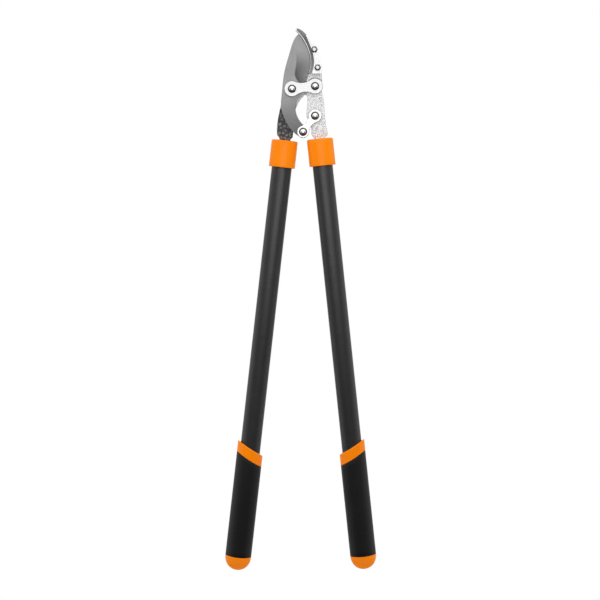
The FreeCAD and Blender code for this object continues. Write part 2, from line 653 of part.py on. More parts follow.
def end_cap(side, seams):
    """The rounded cap at the foot of the grip, with a spigot that plugs the tube."""
    ball = doc.addObject("Part::Ellipsoid", side + "_cap_ball")
    ball.Angle1 = -90
    ball.Angle2 = 0
    bind(ball, Radius1="sizes.cap_height", Radius2="sizes.grip_width / 2", Radius3="sizes.grip_depth / 2",
         Placement__Base__z="sizes.cap_centre")
    rim = oval(side + "_cap_rim", "sizes.grip_width", "sizes.grip_depth",
               "sizes.cap_centre + sizes.cap_rim", "sizes.cap_rim")
    block = boolean("Fuse", side + "_cap_block", ball, rim)
    band = boolean("Common", side + "_cap_band", block, seam_block(side + "_cap_zone", seams[3], seams[4]))
    seat = oval(side + "_cap_seat", *TUBE_CLEAR, "sizes.cap_centre + sizes.cap_seat_top",
                "sizes.cap_seat_top - (sizes.tube_top - sizes.tube_length) + sizes.cap_centre + sizes.fit_gap")
    seated = boolean("Cut", side + "_cap_open", band, seat)
    spigot = oval(side + "_cap_spigot", *PLUG, "sizes.cap_centre + sizes.cap_spigot",
                  "sizes.cap_spigot + sizes.cap_spigot_root")
    return boolean("Fuse", side + "_cap_whole", seated, spigot, side + "_end_cap")


def handle(side, outside):
    """All the loose pieces of one handle. Outside is -1 where the outer side is -X, or 1."""
    seams = grip_seams(outside)
    pieces = [tube(side), collar(side), tang_sleeve(side), tang_pin(side),
              grip_core(side, seams), grip_cover(side, seams), end_cap(side, seams)]
    return [on_handle(piece, side) for piece in pieces]


def build():
    """Make every piece of the tool."""
    back = size("carrier_front") - size("carrier_thickness")
    link_back = size("rear_link_front") - size("strap_thickness")
    pieces = [hook_carrier(), counter_blade(), *counter_blade_fasteners(), pivot_strap(),
              rivet("blade_pivot_rivet", "blade_pivot", "pivot_pin", back),
              rivet("handle_pivot_rivet", "handle_pivot", "pivot_pin", back),
              washer("blade_pivot_washer", "blade_pivot", "blade_washer", PIVOT_BORE),
              right_shank(), cutting_blade(),
              link_plate("link_plate_front", "strap_front"),
              link_plate("link_plate_rear", "rear_link_front"),
              rivet("link_handle_rivet", "link_top", "link_pin", link_back),
              rivet("link_tail_rivet", "link_tail", "link_pin", link_back),
              washer("link_tail_washer", "link_tail", "link_washer", LINK_BORE),
              *handle("left", -1), *handle("right", 1)]
    doc.recompute()
    return pieces


def check(pieces):
    """Stop if any object failed or any piece has no valid solid."""
    failed = [obj.Name for obj in doc.Objects if {"Invalid", "Error"} & set(obj.State)]
    assert not failed, f"failed objects: {failed}"
    for piece in pieces:
        shape = piece.Shape
        assert not shape.isNull() and shape.isValid() and shape.Solids, "bad shape: " + piece.Label


def write(pieces):
    """Write one STEP file per piece."""
    os.makedirs("parts", exist_ok=True)
    for piece in pieces:
        piece.Shape.exportStep(f"parts/{piece.Label}.step")
        print(f"{piece.Label:22s} solids {len(piece.Shape.Solids)}  volume {piece.Shape.Volume / 1000:8.2f} cm3")


tool_pieces = build()
check(tool_pieces)
write(tool_pieces)
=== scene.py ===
# %% [markdown]
# # A long-handled bypass lopper
# This lesson dresses a lopper that already exists as exact CAD parts. The CAD parts fix every
# position, size and joint. Blender adds what a machinist, a forger and a moulder would leave on the
# real pieces: ground edges, forging scale, rounded rims, grain and gloss. Everything is in metres,
# +Z runs from the handles up to the head, and the front of the tool faces -Y.

# %% Load the CAD parts
import json
import math

import bmesh
import bpy
import numpy as np
from mathutils import Matrix, Vector, geometry, noise


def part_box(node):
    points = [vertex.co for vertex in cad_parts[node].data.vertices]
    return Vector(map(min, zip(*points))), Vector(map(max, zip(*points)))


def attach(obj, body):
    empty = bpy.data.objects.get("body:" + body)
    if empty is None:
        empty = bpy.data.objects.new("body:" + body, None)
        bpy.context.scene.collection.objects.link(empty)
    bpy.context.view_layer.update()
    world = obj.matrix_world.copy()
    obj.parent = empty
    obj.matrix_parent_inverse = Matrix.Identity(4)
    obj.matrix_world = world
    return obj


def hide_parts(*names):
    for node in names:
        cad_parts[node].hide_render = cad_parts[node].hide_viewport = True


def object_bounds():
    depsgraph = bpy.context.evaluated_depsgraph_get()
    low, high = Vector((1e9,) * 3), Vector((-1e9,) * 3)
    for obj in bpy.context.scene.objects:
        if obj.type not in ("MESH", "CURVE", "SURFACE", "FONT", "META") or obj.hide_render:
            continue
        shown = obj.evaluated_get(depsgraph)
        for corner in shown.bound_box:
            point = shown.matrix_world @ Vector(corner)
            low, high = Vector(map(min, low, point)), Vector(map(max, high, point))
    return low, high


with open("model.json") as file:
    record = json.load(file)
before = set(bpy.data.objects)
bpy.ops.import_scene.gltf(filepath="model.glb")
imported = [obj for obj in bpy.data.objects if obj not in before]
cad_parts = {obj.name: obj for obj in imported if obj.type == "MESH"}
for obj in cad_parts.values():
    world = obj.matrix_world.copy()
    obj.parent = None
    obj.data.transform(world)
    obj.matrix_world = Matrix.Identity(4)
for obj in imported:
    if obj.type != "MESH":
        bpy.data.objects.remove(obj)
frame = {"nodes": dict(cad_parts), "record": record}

cad_nodes = frame["nodes"]
record = frame["record"]
cad_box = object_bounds()
print("CAD box in mm:", [round(v * 1000, 1) for corner in cad_box for v in corner])

# %% [markdown]
# ## Camera
# A tool like this is best shown from the front through a long lens, so that both handles keep their
# true taper. A long lens far away gives nearly parallel lines. The frame is a little taller than the
# tool, so the lens follows from the distance and the height that has to fit.

# %% Camera
MM = 0.001
FRAME_HEIGHT = 0.804          # height of the picture at the tool
CAMERA_DISTANCE = 7.0
AIM_SHIFT = Vector((-0.0009, 0.0, -0.0009))   # the tool hangs this little off the frame's middle

middle = (cad_box[0] + cad_box[1]) / 2
aim = Vector((middle.x, 0.0, middle.z)) + AIM_SHIFT
camera_data = bpy.data.cameras.new("front_camera")
camera_data.lens = camera_data.sensor_width * CAMERA_DISTANCE / FRAME_HEIGHT
camera_data.clip_end = 50.0
camera = bpy.data.objects.new("front_camera", camera_data)
camera.location = aim + Vector((0.0, -CAMERA_DISTANCE, 0.0))
camera.rotation_euler = (math.radians(90), 0.0, 0.0)
bpy.context.scene.collection.objects.link(camera)
bpy.context.scene.camera = camera
bpy.context.scene.view_settings.view_transform = "Standard"
print("lens", round(camera_data.lens, 1), "mm, camera at", [round(v, 3) for v in camera.location])

# %% [markdown]
# ## Studio
# The tool hangs in a white studio. The backdrop and the side walls are bright, and the camera's side
# of the room is dim low down and below, or a polished dome and a black tube would look flat. A world
# that changes with direction does this without any walls. The Light Path node keeps it plain white
# for the eye. A wide softbox over the front lights the head and runs out down the handles, and a
# small strip lamp in front gives the collars and the domes their highlight.

# %% World
WALL_LIGHT = 1.0              # backdrop and side walls
FRONT_LOW, FRONT_HIGH = 0.05, 0.85
FRONT_EDGE = (-0.80, -0.30)   # how far a direction points to the front where the walls begin
FRONT_RISE = (0.02, 0.50)     # height of a direction where the front gets brighter
BELOW_LIGHT = 0.10            # what a polished dome sees when it looks down
BELOW_FALL = (-0.62, -0.04)   # height of a direction where that darkness ends


def link(tree, source, target):
    """Join two node sockets."""
    tree.links.new(source, target)


def add_node(tree, kind, place, **values):
    """A node at a place on the sheet, with its own settings."""
    node = tree.nodes.new(kind)
    node.location = place
    for name, value in values.items():
        setattr(node, name, value)
    return node


def feed(tree, value, socket):
    """Give a socket a plain value, or join another socket to it."""
    if isinstance(value, bpy.types.NodeSocket):
        link(tree, value, socket)
    else:
        socket.default_value = value


def soft_step(tree, place, source, limits, results=(0.0, 1.0)):
    """A smooth step from one result to the other between two limits."""
    node = add_node(tree, "ShaderNodeMapRange", place, interpolation_type="SMOOTHSTEP")
    for name, value in zip(("From Min", "From Max", "To Min", "To Max"), (*limits, *results)):
        feed(tree, value, node.inputs[name])
    link(tree, source, node.inputs["Value"])
    return node.outputs["Result"]


def studio_world():
    """White to the eye, and bright walls with a dim lower front for the light."""
    world = bpy.data.worlds.new("white_studio")
    world.use_nodes = True
    tree = world.node_tree
    tree.nodes.clear()
    output = add_node(tree, "ShaderNodeOutputWorld", (700, 0))
    seen = add_node(tree, "ShaderNodeBackground", (300, 150))
    light = add_node(tree, "ShaderNodeBackground", (300, -50))
    mix = add_node(tree, "ShaderNodeMixShader", (500, 0))
    ray = add_node(tree, "ShaderNodeLightPath", (300, 450))
    place = add_node(tree, "ShaderNodeTexCoord", (-700, 0))
    split = add_node(tree, "ShaderNodeSeparateXYZ", (-500, 0))
    seen.inputs["Color"].default_value = (1, 1, 1, 1)
    light.inputs["Color"].default_value = (1, 1, 1, 1)
    link(tree, place.outputs["Generated"], split.inputs[0])
    front = soft_step(tree, (-250, -150), split.outputs["Z"], FRONT_RISE, (FRONT_LOW, FRONT_HIGH))
    walls = soft_step(tree, (-250, 150), split.outputs["Z"], BELOW_FALL, (BELOW_LIGHT, WALL_LIGHT))
    room = soft_step(tree, (0, 0), split.outputs["Y"], FRONT_EDGE, (front, walls))
    link(tree, room, light.inputs["Strength"])
    link(tree, ray.outputs["Is Camera Ray"], mix.inputs["Fac"])
    link(tree, light.outputs[0], mix.inputs[1])
    link(tree, seen.outputs[0], mix.inputs[2])
    link(tree, mix.outputs[0], output.inputs["Surface"])
    bpy.context.scene.world = world


studio_world()
print("world:", bpy.context.scene.world.name)

# %% Lamps
LAMPS = {                     # place, width and height, glow of the face where the white wall is 1
    "softbox": (Vector((0.0, -0.62, 0.43)), (1.3, 0.8), 1.02),
    "strip": (Vector((0.01, -0.55, -0.055)), (0.36, 0.18), 2.9),
}
for lamp_name, (place, size, glow) in LAMPS.items():
    lamp_data = bpy.data.lights.new(lamp_name, "AREA")
    lamp_data.shape = "RECTANGLE"
    lamp_data.size, lamp_data.size_y = size
    lamp_data.energy = glow * math.pi * size[0] * size[1]
    lamp = bpy.data.objects.new(lamp_name, lamp_data)
    lamp.location = place
    lamp.rotation_euler = (-place).to_track_quat("-Z", "Y").to_euler()
    lamp.visible_camera = False
    bpy.context.scene.collection.objects.link(lamp)
print("lamps:", sorted(LAMPS))

# %% Floor
FLOOR_DROP = 0.22             # the tool hangs this far above the floor
FLOOR_RADIUS = 1.5

floor_mesh = bpy.data.meshes.new("studio_floor")
floor_form = bmesh.new()
bmesh.ops.create_circle(floor_form, cap_ends=True, segments=96, radius=FLOOR_RADIUS)
floor_form.to_mesh(floor_mesh)
floor_form.free()
studio_floor = bpy.data.objects.new("studio_floor", floor_mesh)
studio_floor.location = (0.0, 0.0, cad_box[0].z - FLOOR_DROP)
studio_floor.visible_glossy = False
bpy.context.scene.collection.objects.link(studio_floor)
print("floor at", round(studio_floor.location.z, 3), "m")

# %% [markdown]
# ## Shared surface effects
# Four effects come back on several finishes: a fine grain, forging pits, long grinding lines, and a
# slow cloudy change of tone. Each is one node group with named inputs, built once and used with its
# own values in every material. A group only gives values. The shader itself stays in the material.

# %% Node group helpers
def new_group(name, inputs, outputs):
    """An empty node group whose inputs and outputs are numbers."""
    group = bpy.data.node_groups.new(name, "ShaderNodeTree")
    for socket, value in inputs.items():
        made = group.interface.new_socket(socket, in_out="INPUT", socket_type="NodeSocketFloat")
        made.default_value = value
    for socket in outputs:
        group.interface.new_socket(socket, in_out="OUTPUT", socket_type="NodeSocketFloat")
    start = add_node(group, "NodeGroupInput", (-800, 0))
    end = add_node(group, "NodeGroupOutput", (700, 0))
    return group, start, end


def math_node(tree, operation, place, *values):
    """A Math node whose inputs are sockets or plain numbers."""
    node = add_node(tree, "ShaderNodeMath", place, operation=operation)
    for value, socket in zip(values, node.inputs):
        feed(tree, value, socket)
    return node.outputs[0]


def own_place(tree, place):
    """The position on a piece in the piece's own coordinates."""
    return add_node(tree, "ShaderNodeTexCoord", place).outputs["Object"]


def noise_value(tree, place, scale, detail, roughness, where=None):
    """A noise texture in the piece's own coordinates. Scale is a number or a socket."""
    texture = add_node(tree, "ShaderNodeTexNoise", place)
    if where is None:
        where = own_place(tree, (place[0] - 200, place[1]))
    values = {"Detail": detail, "Roughness": roughness, "Scale": scale, "Vector": where}
    for name, value in values.items():
        feed(tree, value, texture.inputs[name])
    return texture.outputs["Fac"]

# %% Grain, clouds, pits and grinding lines
WOBBLE_SCALE, WOBBLE_REACH = 700.0, 0.0012    # how fine and how far the outlines of pits wander
CELL_SHARE, ROUGH_SHARE = 0.55, 0.75          # round cells and rough noise in a forging's skin
PIT_EDGE = (-0.09, 0.20)
LINE_STRETCH = 0.06           # a grinding line is this much coarser along the tool than across it


def build_grain():
    """Fine even grain: powder coat, blasted steel, moulded plastic. Scale is per metre."""
    group, start, end = new_group("fine_grain", {"Scale": 1500.0}, ["Height", "Specks"])
    fine = noise_value(group, (-400, 100), start.outputs["Scale"], 3.0, 0.6)
    link(group, fine, end.inputs["Height"])
    link(group, soft_step(group, (0, -100), fine, (0.56, 0.72)), end.inputs["Specks"])
    return group


def build_clouds():
    """Slow change of tone over a few centimetres."""
    group, start, end = new_group("tone_clouds", {"Scale": 40.0}, ["Tone"])
    soft = noise_value(group, (-400, 0), start.outputs["Scale"], 1.5, 0.5)
    link(group, soft_step(group, (0, 0), soft, (0.32, 0.68)), end.inputs["Tone"])
    return group


def build_pits():
    """Forging scale: rounded pits of two sizes with a raised skin between them."""
    inputs = {"Scale": 600.0, "Cover": 0.5}
    group, start, end = new_group("forging_pits", inputs, ["Pits", "Height"])
    where = own_place(group, (-1000, -200))
    wobble = add_node(group, "ShaderNodeTexNoise", (-800, -300))
    wobble.inputs["Scale"].default_value = WOBBLE_SCALE
    link(group, where, wobble.inputs["Vector"])
    push = add_node(group, "ShaderNodeVectorMath", (-600, -300), operation="MULTIPLY_ADD")
    for socket, value in zip(push.inputs, (wobble.outputs["Color"], [WOBBLE_REACH] * 3, where)):
        feed(group, value, socket)
    cells = add_node(group, "ShaderNodeTexVoronoi", (-400, -100), feature="F1")
    link(group, start.outputs["Scale"], cells.inputs["Scale"])
    link(group, push.outputs[0], cells.inputs["Vector"])
    rough = noise_value(group, (-400, 200), start.outputs["Scale"], 4.0, 0.65)
    round_part = math_node(group, "MULTIPLY", (-250, 0), cells.outputs["Distance"], CELL_SHARE)
    rough_part = math_node(group, "MULTIPLY", (-250, 200), rough, ROUGH_SHARE)
    blend = math_node(group, "ADD", (-150, 100), round_part, rough_part)
    edge = math_node(group, "SUBTRACT", (0, 100), blend, start.outputs["Cover"])
    link(group, soft_step(group, (200, 100), edge, PIT_EDGE), end.inputs["Pits"])
    link(group, blend, end.inputs["Height"])
    return group


def build_lines():
    """Long thin grinding marks that run along the tool."""
    group, start, end = new_group("grinding_lines", {"Scale": 900.0}, ["Lines"])
    squeeze = add_node(group, "ShaderNodeVectorMath", (-600, -200), operation="MULTIPLY")
    squeeze.inputs[1].default_value = (1.0, 1.0, LINE_STRETCH)
    link(group, own_place(group, (-800, -200)), squeeze.inputs[0])
    streak = noise_value(group, (-400, 0), start.outputs["Scale"], 2.0, 0.6, squeeze.outputs[0])
    link(group, soft_step(group, (0, 0), streak, (0.3, 0.7)), end.inputs["Lines"])
    return group


EFFECTS = {"grain": build_grain(), "clouds": build_clouds(), "pits": build_pits(),
           "lines": build_lines()}
print("effects:", [group.name for group in EFFECTS.values()])

# %% [markdown]
# ## Finishes
# Every finish is one Principled shader. Its colour is a mix of two or three close tones, steered by
# the effects above, and the same effects move the roughness and feed a Bump node, because a real
# surface changes its gloss where it changes its colour.

# %% Material helpers
def new_finish(name, roughness, metallic=0.0, **sockets):
    """A material with one Principled shader and plain values on the shader's own sockets."""
    material = bpy.data.materials.new(name)
    material.use_nodes = True
    tree = material.node_tree
    shader = tree.nodes["Principled BSDF"]
    shader.location = (600, 0)
    tree.nodes["Material Output"].location = (900, 0)
    shader.inputs["Roughness"].default_value = roughness
    shader.inputs["Metallic"].default_value = metallic
    for socket, value in sockets.items():
        shader.inputs[socket.replace("_", " ")].default_value = value
    return material, tree, shader


def effect(tree, name, place, **values):
    """One of the shared effects, placed in a material with its own values."""
    node = add_node(tree, "ShaderNodeGroup", place, node_tree=EFFECTS[name])
    for socket, value in values.items():
        node.inputs[socket].default_value = value
    return node.outputs


def tint(tree, place, mask, low, high):
    """A colour between two colours or sockets, by a mask."""
    node = add_node(tree, "ShaderNodeMix", place, data_type="RGBA")
    link(tree, mask, node.inputs["Factor"])
    for socket, value in (("A", low), ("B", high)):
        target = [item for item in node.inputs if item.name == socket and item.type == "RGBA"][0]
        feed(tree, (*value, 1.0) if isinstance(value, tuple) else value, target)
    return [item for item in node.outputs if item.type == "RGBA"][0]


def between(tree, place, mask, low, high):
    """A number between low and high, by a mask."""
    node = add_node(tree, "ShaderNodeMapRange", place)
    node.inputs["To Min"].default_value = low
    node.inputs["To Max"].default_value = high
    link(tree, mask, node.inputs["Value"])
    return node.outputs["Result"]


def bumps(tree, shader, height, distance):
    """Turn a height into small bumps. Distance is in metres."""
    node = add_node(tree, "ShaderNodeBump", (350, -300))
    node.inputs["Strength"].default_value = 1.0
    node.inputs["Distance"].default_value = distance
    link(tree, height, node.inputs["Height"])
    link(tree, node.outputs["Normal"], shader.inputs["Normal"])


def grey(value):
    """A neutral colour."""
    return (value, value, value)

# %% Plastics, rubber and powder coat
def plain_finish(name, tones, rough, grain, depth, shine=0.5):
    """A coat or a moulding: two close tones, a fine grain and a little change of gloss."""
    material, tree, shader = new_finish(name, rough[1], Specular_IOR_Level=shine)
    tone = effect(tree, "clouds", (-300, 200), Scale=30.0)["Tone"]
    fine = effect(tree, "grain", (-300, -200), Scale=grain)
    link(tree, tint(tree, (100, 250), tone, *tones), shader.inputs["Base Color"])
    link(tree, between(tree, (100, -50), fine["Height"], *rough), shader.inputs["Roughness"])
    bumps(tree, shader, fine["Height"], depth)
    return material


finishes = {
    "orange_plastic": plain_finish("orange_plastic_finish",
                                   ((0.92, 0.222, 0.0), (0.95, 0.240, 0.0)), (0.25, 0.31),
                                   1800.0, 0.00002, 0.17),
    "tube_paint": plain_finish("tube_paint_finish", (grey(0.0070), grey(0.0092)), (0.36, 0.46),
                               2200.0, 0.00004, 0.7),
    "grip_rubber": plain_finish("grip_rubber_finish", (grey(0.0022), grey(0.0036)), (0.42, 0.54),
                                2600.0, 0.00006, 0.36),
    "sleeve_plastic": plain_finish("sleeve_plastic_finish", (grey(0.02), grey(0.03)), (0.5, 0.6),
                                   1500.0, 0.00003),
}

# %% [markdown]
# ## Metal finishes
# The forgings carry scale: pits that are dark at the bottom and a skin that catches the light. The
# left forging is dark along its shank and pale under the hook, so its material fades from one to the
# other by height. The ground pieces carry their zones as a mesh attribute, which the material reads.
# Plated pieces get painted shade on their punched edges and on the rims of their heads, where the
# surface turns away from front and back.

# %% Forgings, blade, hook, plate and rivets
DARK_SHANK_END = (0.046, 0.056)   # height where the left forging's dark shank turns pale
# painted shade: the blade's tail is painted darker towards the bottom, where the light runs out down
# the tool
PAINTED_TAIL_SHADE = (0.005, 0.085)    # heights between which the blade's tail gets lighter
# painted highlight: the hook's land is painted brighter higher up
LAND_HIGHLIGHT = (0.108, 0.132)      # heights between which the hook's bright line gets brighter


def height_mask(tree, place, limits):
    """A mask that rises with the height on the piece, between two heights."""
    height = add_node(tree, "ShaderNodeSeparateXYZ", (place[0] + 200, place[1]))
    link(tree, own_place(tree, place), height.inputs[0])
    return soft_step(tree, (place[0] + 400, place[1]), height.outputs["Z"], limits)


def forged_finish(name, skin, pit, skin_dark=None, pit_dark=None):
    """Forging scale. With the two dark tones, the finish is dark below and pale under the hook."""
    material, tree, shader = new_finish(name, 0.6, 0.3)
    marks = effect(tree, "pits", (-500, 0), Scale=900.0, Cover=0.62)
    fine = effect(tree, "grain", (-500, -300), Scale=2400.0)
    colour = tint(tree, (-100, 200), marks["Pits"], skin, pit)
    if skin_dark:
        broad = effect(tree, "pits", (-500, 450), Scale=330.0, Cover=0.52)
        dark = tint(tree, (-100, 450), broad["Pits"], skin_dark, pit_dark)
        zone = height_mask(tree, (-700, 700), DARK_SHANK_END)
        colour = tint(tree, (100, 350), zone, dark, colour)
    link(tree, colour, shader.inputs["Base Color"])
    link(tree, between(tree, (100, 0), marks["Pits"], 0.50, 0.74), shader.inputs["Roughness"])
    height = math_node(tree, "ADD", (100, -300), marks["Height"],
                       math_node(tree, "MULTIPLY", (-100, -400), fine["Height"], 0.25))
    bumps(tree, shader, height, 0.00025)
    return material


def zone_value(tree, name, place):
    """A zone that was written on the mesh, as a mask."""
    return add_node(tree, "ShaderNodeAttribute", place, attribute_name=name).outputs["Fac"]


def blade_finish():
    """Satin grey blade. Its hollow is darker, partly from the grinder's finish and partly painted
    shade that fades towards the edge.
    """
    material, tree, shader = new_finish("blade_steel_finish", 0.4, 0.85)
    lines = effect(tree, "lines", (-500, -100), Scale=1400.0)["Lines"]
    fine = effect(tree, "grain", (-500, -400), Scale=2600.0)
    tone = effect(tree, "clouds", (-500, 200), Scale=28.0)["Tone"]
    body = tint(tree, (-200, 300), tone, grey(0.285), grey(0.325))
    # painted shade: the tail's colour darkens towards the bottom
    body = tint(tree, (0, 450), height_mask(tree, (-700, 500), PAINTED_TAIL_SHADE), grey(0.120), body)
    ground_and_shade = tint(tree, (-200, 0), lines, grey(0.055), grey(0.080))
    # the hollow's colour is partly its grinding finish and partly painted shade, darkest at the
    # hollow's line
    colour = tint(tree, (150, 200), zone_value(tree, "hollow", (-200, -200)), body, ground_and_shade)
    link(tree, colour, shader.inputs["Base Color"])
    link(tree, between(tree, (150, -50), fine["Height"], 0.34, 0.5), shader.inputs["Roughness"])
    bumps(tree, shader, math_node(tree, "ADD", (150, -300), fine["Height"], lines), 0.00002)
    return material


def hook_finish():
    """The hook: pale flat face, dark slope left by the grinder, a bright land along the inner edge
    with a painted highlight, and painted shadow at the mouth's edge.
    """
    material, tree, shader = new_finish("hook_steel_finish", 0.35, 0.85)
    lines = effect(tree, "lines", (-500, -100), Scale=1400.0)["Lines"]
    fine = effect(tree, "grain", (-500, -400), Scale=2200.0)
    face = tint(tree, (-200, 400), fine["Specks"], grey(0.86), grey(0.80))
    slope = tint(tree, (-200, 150), lines, grey(0.19), grey(0.25))
    worked = tint(tree, (50, 300), zone_value(tree, "slope", (-200, -100)), face, slope)
    land = zone_value(tree, "land", (-200, -300))
    # the land is a pale, barely metallic tone, partly its polish and partly a painted highlight that
    # rises from mid grey to near white
    upper = height_mask(tree, (-700, 700), LAND_HIGHLIGHT)
    bright = tint(tree, (50, 550), upper, grey(0.44), grey(0.95))
    polished = tint(tree, (250, 300), land, worked, bright)
    # painted shadow: a near-black strip at the mouth's edge stands in for the hook's shadow on the
    # blade
    painted_mouth_shadow = zone_value(tree, "painted_mouth_shadow", (-200, -500))
    colour = tint(tree, (420, 300), painted_mouth_shadow, polished, grey(0.025))
    link(tree, colour, shader.inputs["Base Color"])
    link(tree, between(tree, (250, 50), land, 0.85, 0.15), shader.inputs["Metallic"])
    link(tree, between(tree, (150, -50), lines, 0.28, 0.42), shader.inputs["Roughness"])
    bumps(tree, shader, lines, 0.00002)
    return material


def turned_away(tree, place, limits):
    """A mask for surfaces that turn away from the tool's front and back, such as a punched edge."""
    normal = add_node(tree, "ShaderNodeNewGeometry", place)
    split = add_node(tree, "ShaderNodeSeparateXYZ", (place[0] + 180, place[1]))
    link(tree, normal.outputs["Normal"], split.inputs[0])
    facing = math_node(tree, "ABSOLUTE", (place[0] + 340, place[1]), split.outputs["Y"])
    away = math_node(tree, "SUBTRACT", (place[0] + 500, place[1]), 1.0, facing)
    return soft_step(tree, (place[0] + 660, place[1]), away, limits)


def plated_finish(name, tones, rough, metallic, grain, shade, shade_limits):
    """Plated steel: bright and finely speckled, with painted shade where the surface turns away."""
    material, tree, shader = new_finish(name, rough[1], metallic)
    lines = effect(tree, "lines", (-500, 0), Scale=1500.0)["Lines"]
    fine = effect(tree, "grain", (-500, -300), Scale=grain)
    plate = tint(tree, (-100, 200), fine["Specks"], tones[1], tones[0])
    # painted shade: faces turned away from front and back take a dark tone, standing in for contact
    # shadows and dark reflections
    colour = tint(tree, (150, 200), turned_away(tree, (-900, 500), shade_limits), plate, shade)
    link(tree, colour, shader.inputs["Base Color"])
    link(tree, between(tree, (0, -50), lines, *rough), shader.inputs["Roughness"])
    bumps(tree, shader, fine["Height"], 0.000006)
    return material


# the dark tone and the two limits at the end of each plated finish are painted shade on rims and
# dome feet
finishes.update({
    "forged_steel_light": forged_finish("forged_light_finish", grey(0.95), grey(0.46)),
    "forged_steel_dark": forged_finish("forged_dark_finish", grey(0.93), grey(0.50),
                                       grey(0.230), grey(0.042)),
    "blade_steel": blade_finish(),
    "hook_steel": hook_finish(),
    "plated_strap": plated_finish("plated_strap_finish", (grey(0.73), grey(0.79)), (0.30, 0.40),
                                  0.70, 1800.0, grey(0.16), (0.06, 0.45)),
    "zinc_fastener": plated_finish("zinc_fastener_finish", (grey(0.84), grey(0.92)), (0.22, 0.34),
                                   0.9, 1800.0, grey(0.12), (0.14, 0.28)),
    "bright_rivet": plated_finish("bright_rivet_finish", (grey(0.80), grey(0.88)), (0.23, 0.30),
                                  1.0, 900.0, (0.045, 0.038, 0.032), (0.05, 0.40)),
})

floor_finish, floor_tree, floor_shader = new_finish("floor_finish", 0.8)
floor_tone = effect(floor_tree, "clouds", (-300, 0), Scale=0.8)["Tone"]
floor_colour = tint(floor_tree, (0, 0), floor_tone, grey(0.86), grey(0.90))
link(floor_tree, floor_colour, floor_shader.inputs["Base Color"])
floor_mesh.materials.append(floor_finish)
print("finishes:", sorted(finishes))

# %% [markdown]
# ## Which pieces keep their CAD shape
# The straps, washers, tubes, packing and pins already have the right shape, down to their rounded
# rims, so they stay and only get their finish. The record says which finish each node takes.

# %% Dress the CAD nodes
slot_of = {row["node"]: row["material_slot"] for row in record["subparts"]}
body_of_node = {node: body for body, members in record["behaviour"]["bodies"].items()
                for node in members}
for node_name, node_object in cad_nodes.items():
    for material_slot in node_object.material_slots:
        material_slot.material = finishes[slot_of[node_name]]
print("dressed", len(cad_nodes), "CAD nodes")

# %% [markdown]
# ## Finished pieces that stand for a CAD node
# A better piece rides on the same body as its CAD node, takes the same finish and hides the node.
# One helper does this for every piece, so none can be left behind at a pose.

# %% Place a piece
def stand_in(name, node, mesh, sharp=35.0, tidy_normals=False):
    """Put a mesh in the scene in place of a CAD node."""
    mesh.polygons.foreach_set("use_smooth", [True] * len(mesh.polygons))
    mesh.set_sharp_from_angle(angle=math.radians(sharp))
    mesh.materials.clear()
    mesh.materials.append(finishes[slot_of[node]])
    piece = bpy.data.objects.new(name, mesh)
    bpy.context.scene.collection.objects.link(piece)
    if tidy_normals:
        flat = piece.modifiers.new("flat_faces", "WEIGHTED_NORMAL")
        flat.keep_sharp = True
    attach(piece, body_of_node[node])
    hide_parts(node)
    print(f"{name}: {len(mesh.vertices)} points, {len(mesh.polygons)} faces")


def mesh_from(name, points, faces):
    """A mesh with its faces turned outwards."""
    mesh = bpy.data.meshes.new(name)
    form = bmesh.new()
    corners = [form.verts.new(point) for point in points]
    for face in faces:
        form.faces.new([corners[index] for index in face])
    bmesh.ops.recalc_face_normals(form, faces=form.faces)
    form.to_mesh(mesh)
    form.free()
    return mesh

# %% [markdown]
# ## The two forgings
# A drop forging has soft edges everywhere and a skin pitted by scale. A voxel remesh turns the CAD
# solid into even small faces, smoothing rounds every edge the way a die does, and noise then presses
# shallow dents into the skin. The dents only go inwards, so the moving plates keep their clearance.

# %% Forge a piece
VOXEL = 0.00055
DENT_DEPTH = 0.00030
BROAD_DENTS, SMALL_DENTS = 260.0, 620.0       # dents per metre, roughly
DENT_MIX = (0.35, 0.75, 0.45) # how deep the skin lies, and the share of broad and small dents
SMALL_SHIFT = Vector((7.1, 3.3, 5.7))         # keeps the two sizes of dents apart
WELD = 1e-6                   # CAD corners nearer than this are one point


def dent(point):
    """How deep the skin is pressed in at a point, from 0 to 1."""
    broad = noise.noise(point * BROAD_DENTS, noise_basis="PERLIN_ORIGINAL")
    small = noise.noise(point * SMALL_DENTS + SMALL_SHIFT, noise_basis="PERLIN_ORIGINAL")
    return min(1.0, max(0.0, DENT_MIX[0] + DENT_MIX[1] * broad + DENT_MIX[2] * small))


def welded_form(node):
    """A CAD node's mesh with the corners of its faces joined, ready to work on."""
    form = bmesh.new()
    form.from_mesh(cad_nodes[node].data)
    bmesh.ops.remove_doubles(form, verts=form.verts, dist=WELD)
    return form


def forge(name, node, soften):
    """A forging made from the CAD solid of a node."""
    form = welded_form(node)
    welded = bpy.data.meshes.new(name + "_blank")
    form.to_mesh(welded)
    form.free()
    blank = bpy.data.objects.new(name + "_blank", welded)
    bpy.context.scene.collection.objects.link(blank)
    skin = blank.modifiers.new("skin", "REMESH")
    skin.mode, skin.voxel_size = "VOXEL", VOXEL
    round_over = blank.modifiers.new("round_over", "SMOOTH")
    round_over.factor, round_over.iterations = 0.5, soften
    bpy.context.view_layer.update()
    graph = bpy.context.evaluated_depsgraph_get()
    mesh = bpy.data.meshes.new_from_object(blank.evaluated_get(graph))
    bpy.data.objects.remove(blank)
    normals = [vertex.normal.copy() for vertex in mesh.vertices]
    for vertex, normal in zip(mesh.vertices, normals):
        vertex.co -= normal * (DENT_DEPTH * dent(vertex.co))
    mesh.update()
    stand_in(name, node, mesh, sharp=180.0)


forge("hook_carrier_forging", "hook_carrier", 5)
forge("right_shank_forging", "right_shank", 4)

# %% [markdown]
# ## Plates cut from sheet
# Blade and hook are cut from plate and then ground. Their outlines are read from the flat faces of
# the CAD plates, evened out, and filled with small triangles. A height function then says how far
# the grinder took the front and the back down at each point, and a thin rim rounds the edge.

# %% Read an outline
CORNER = 28.0                 # an outline that turns more than this at a point has a corner there


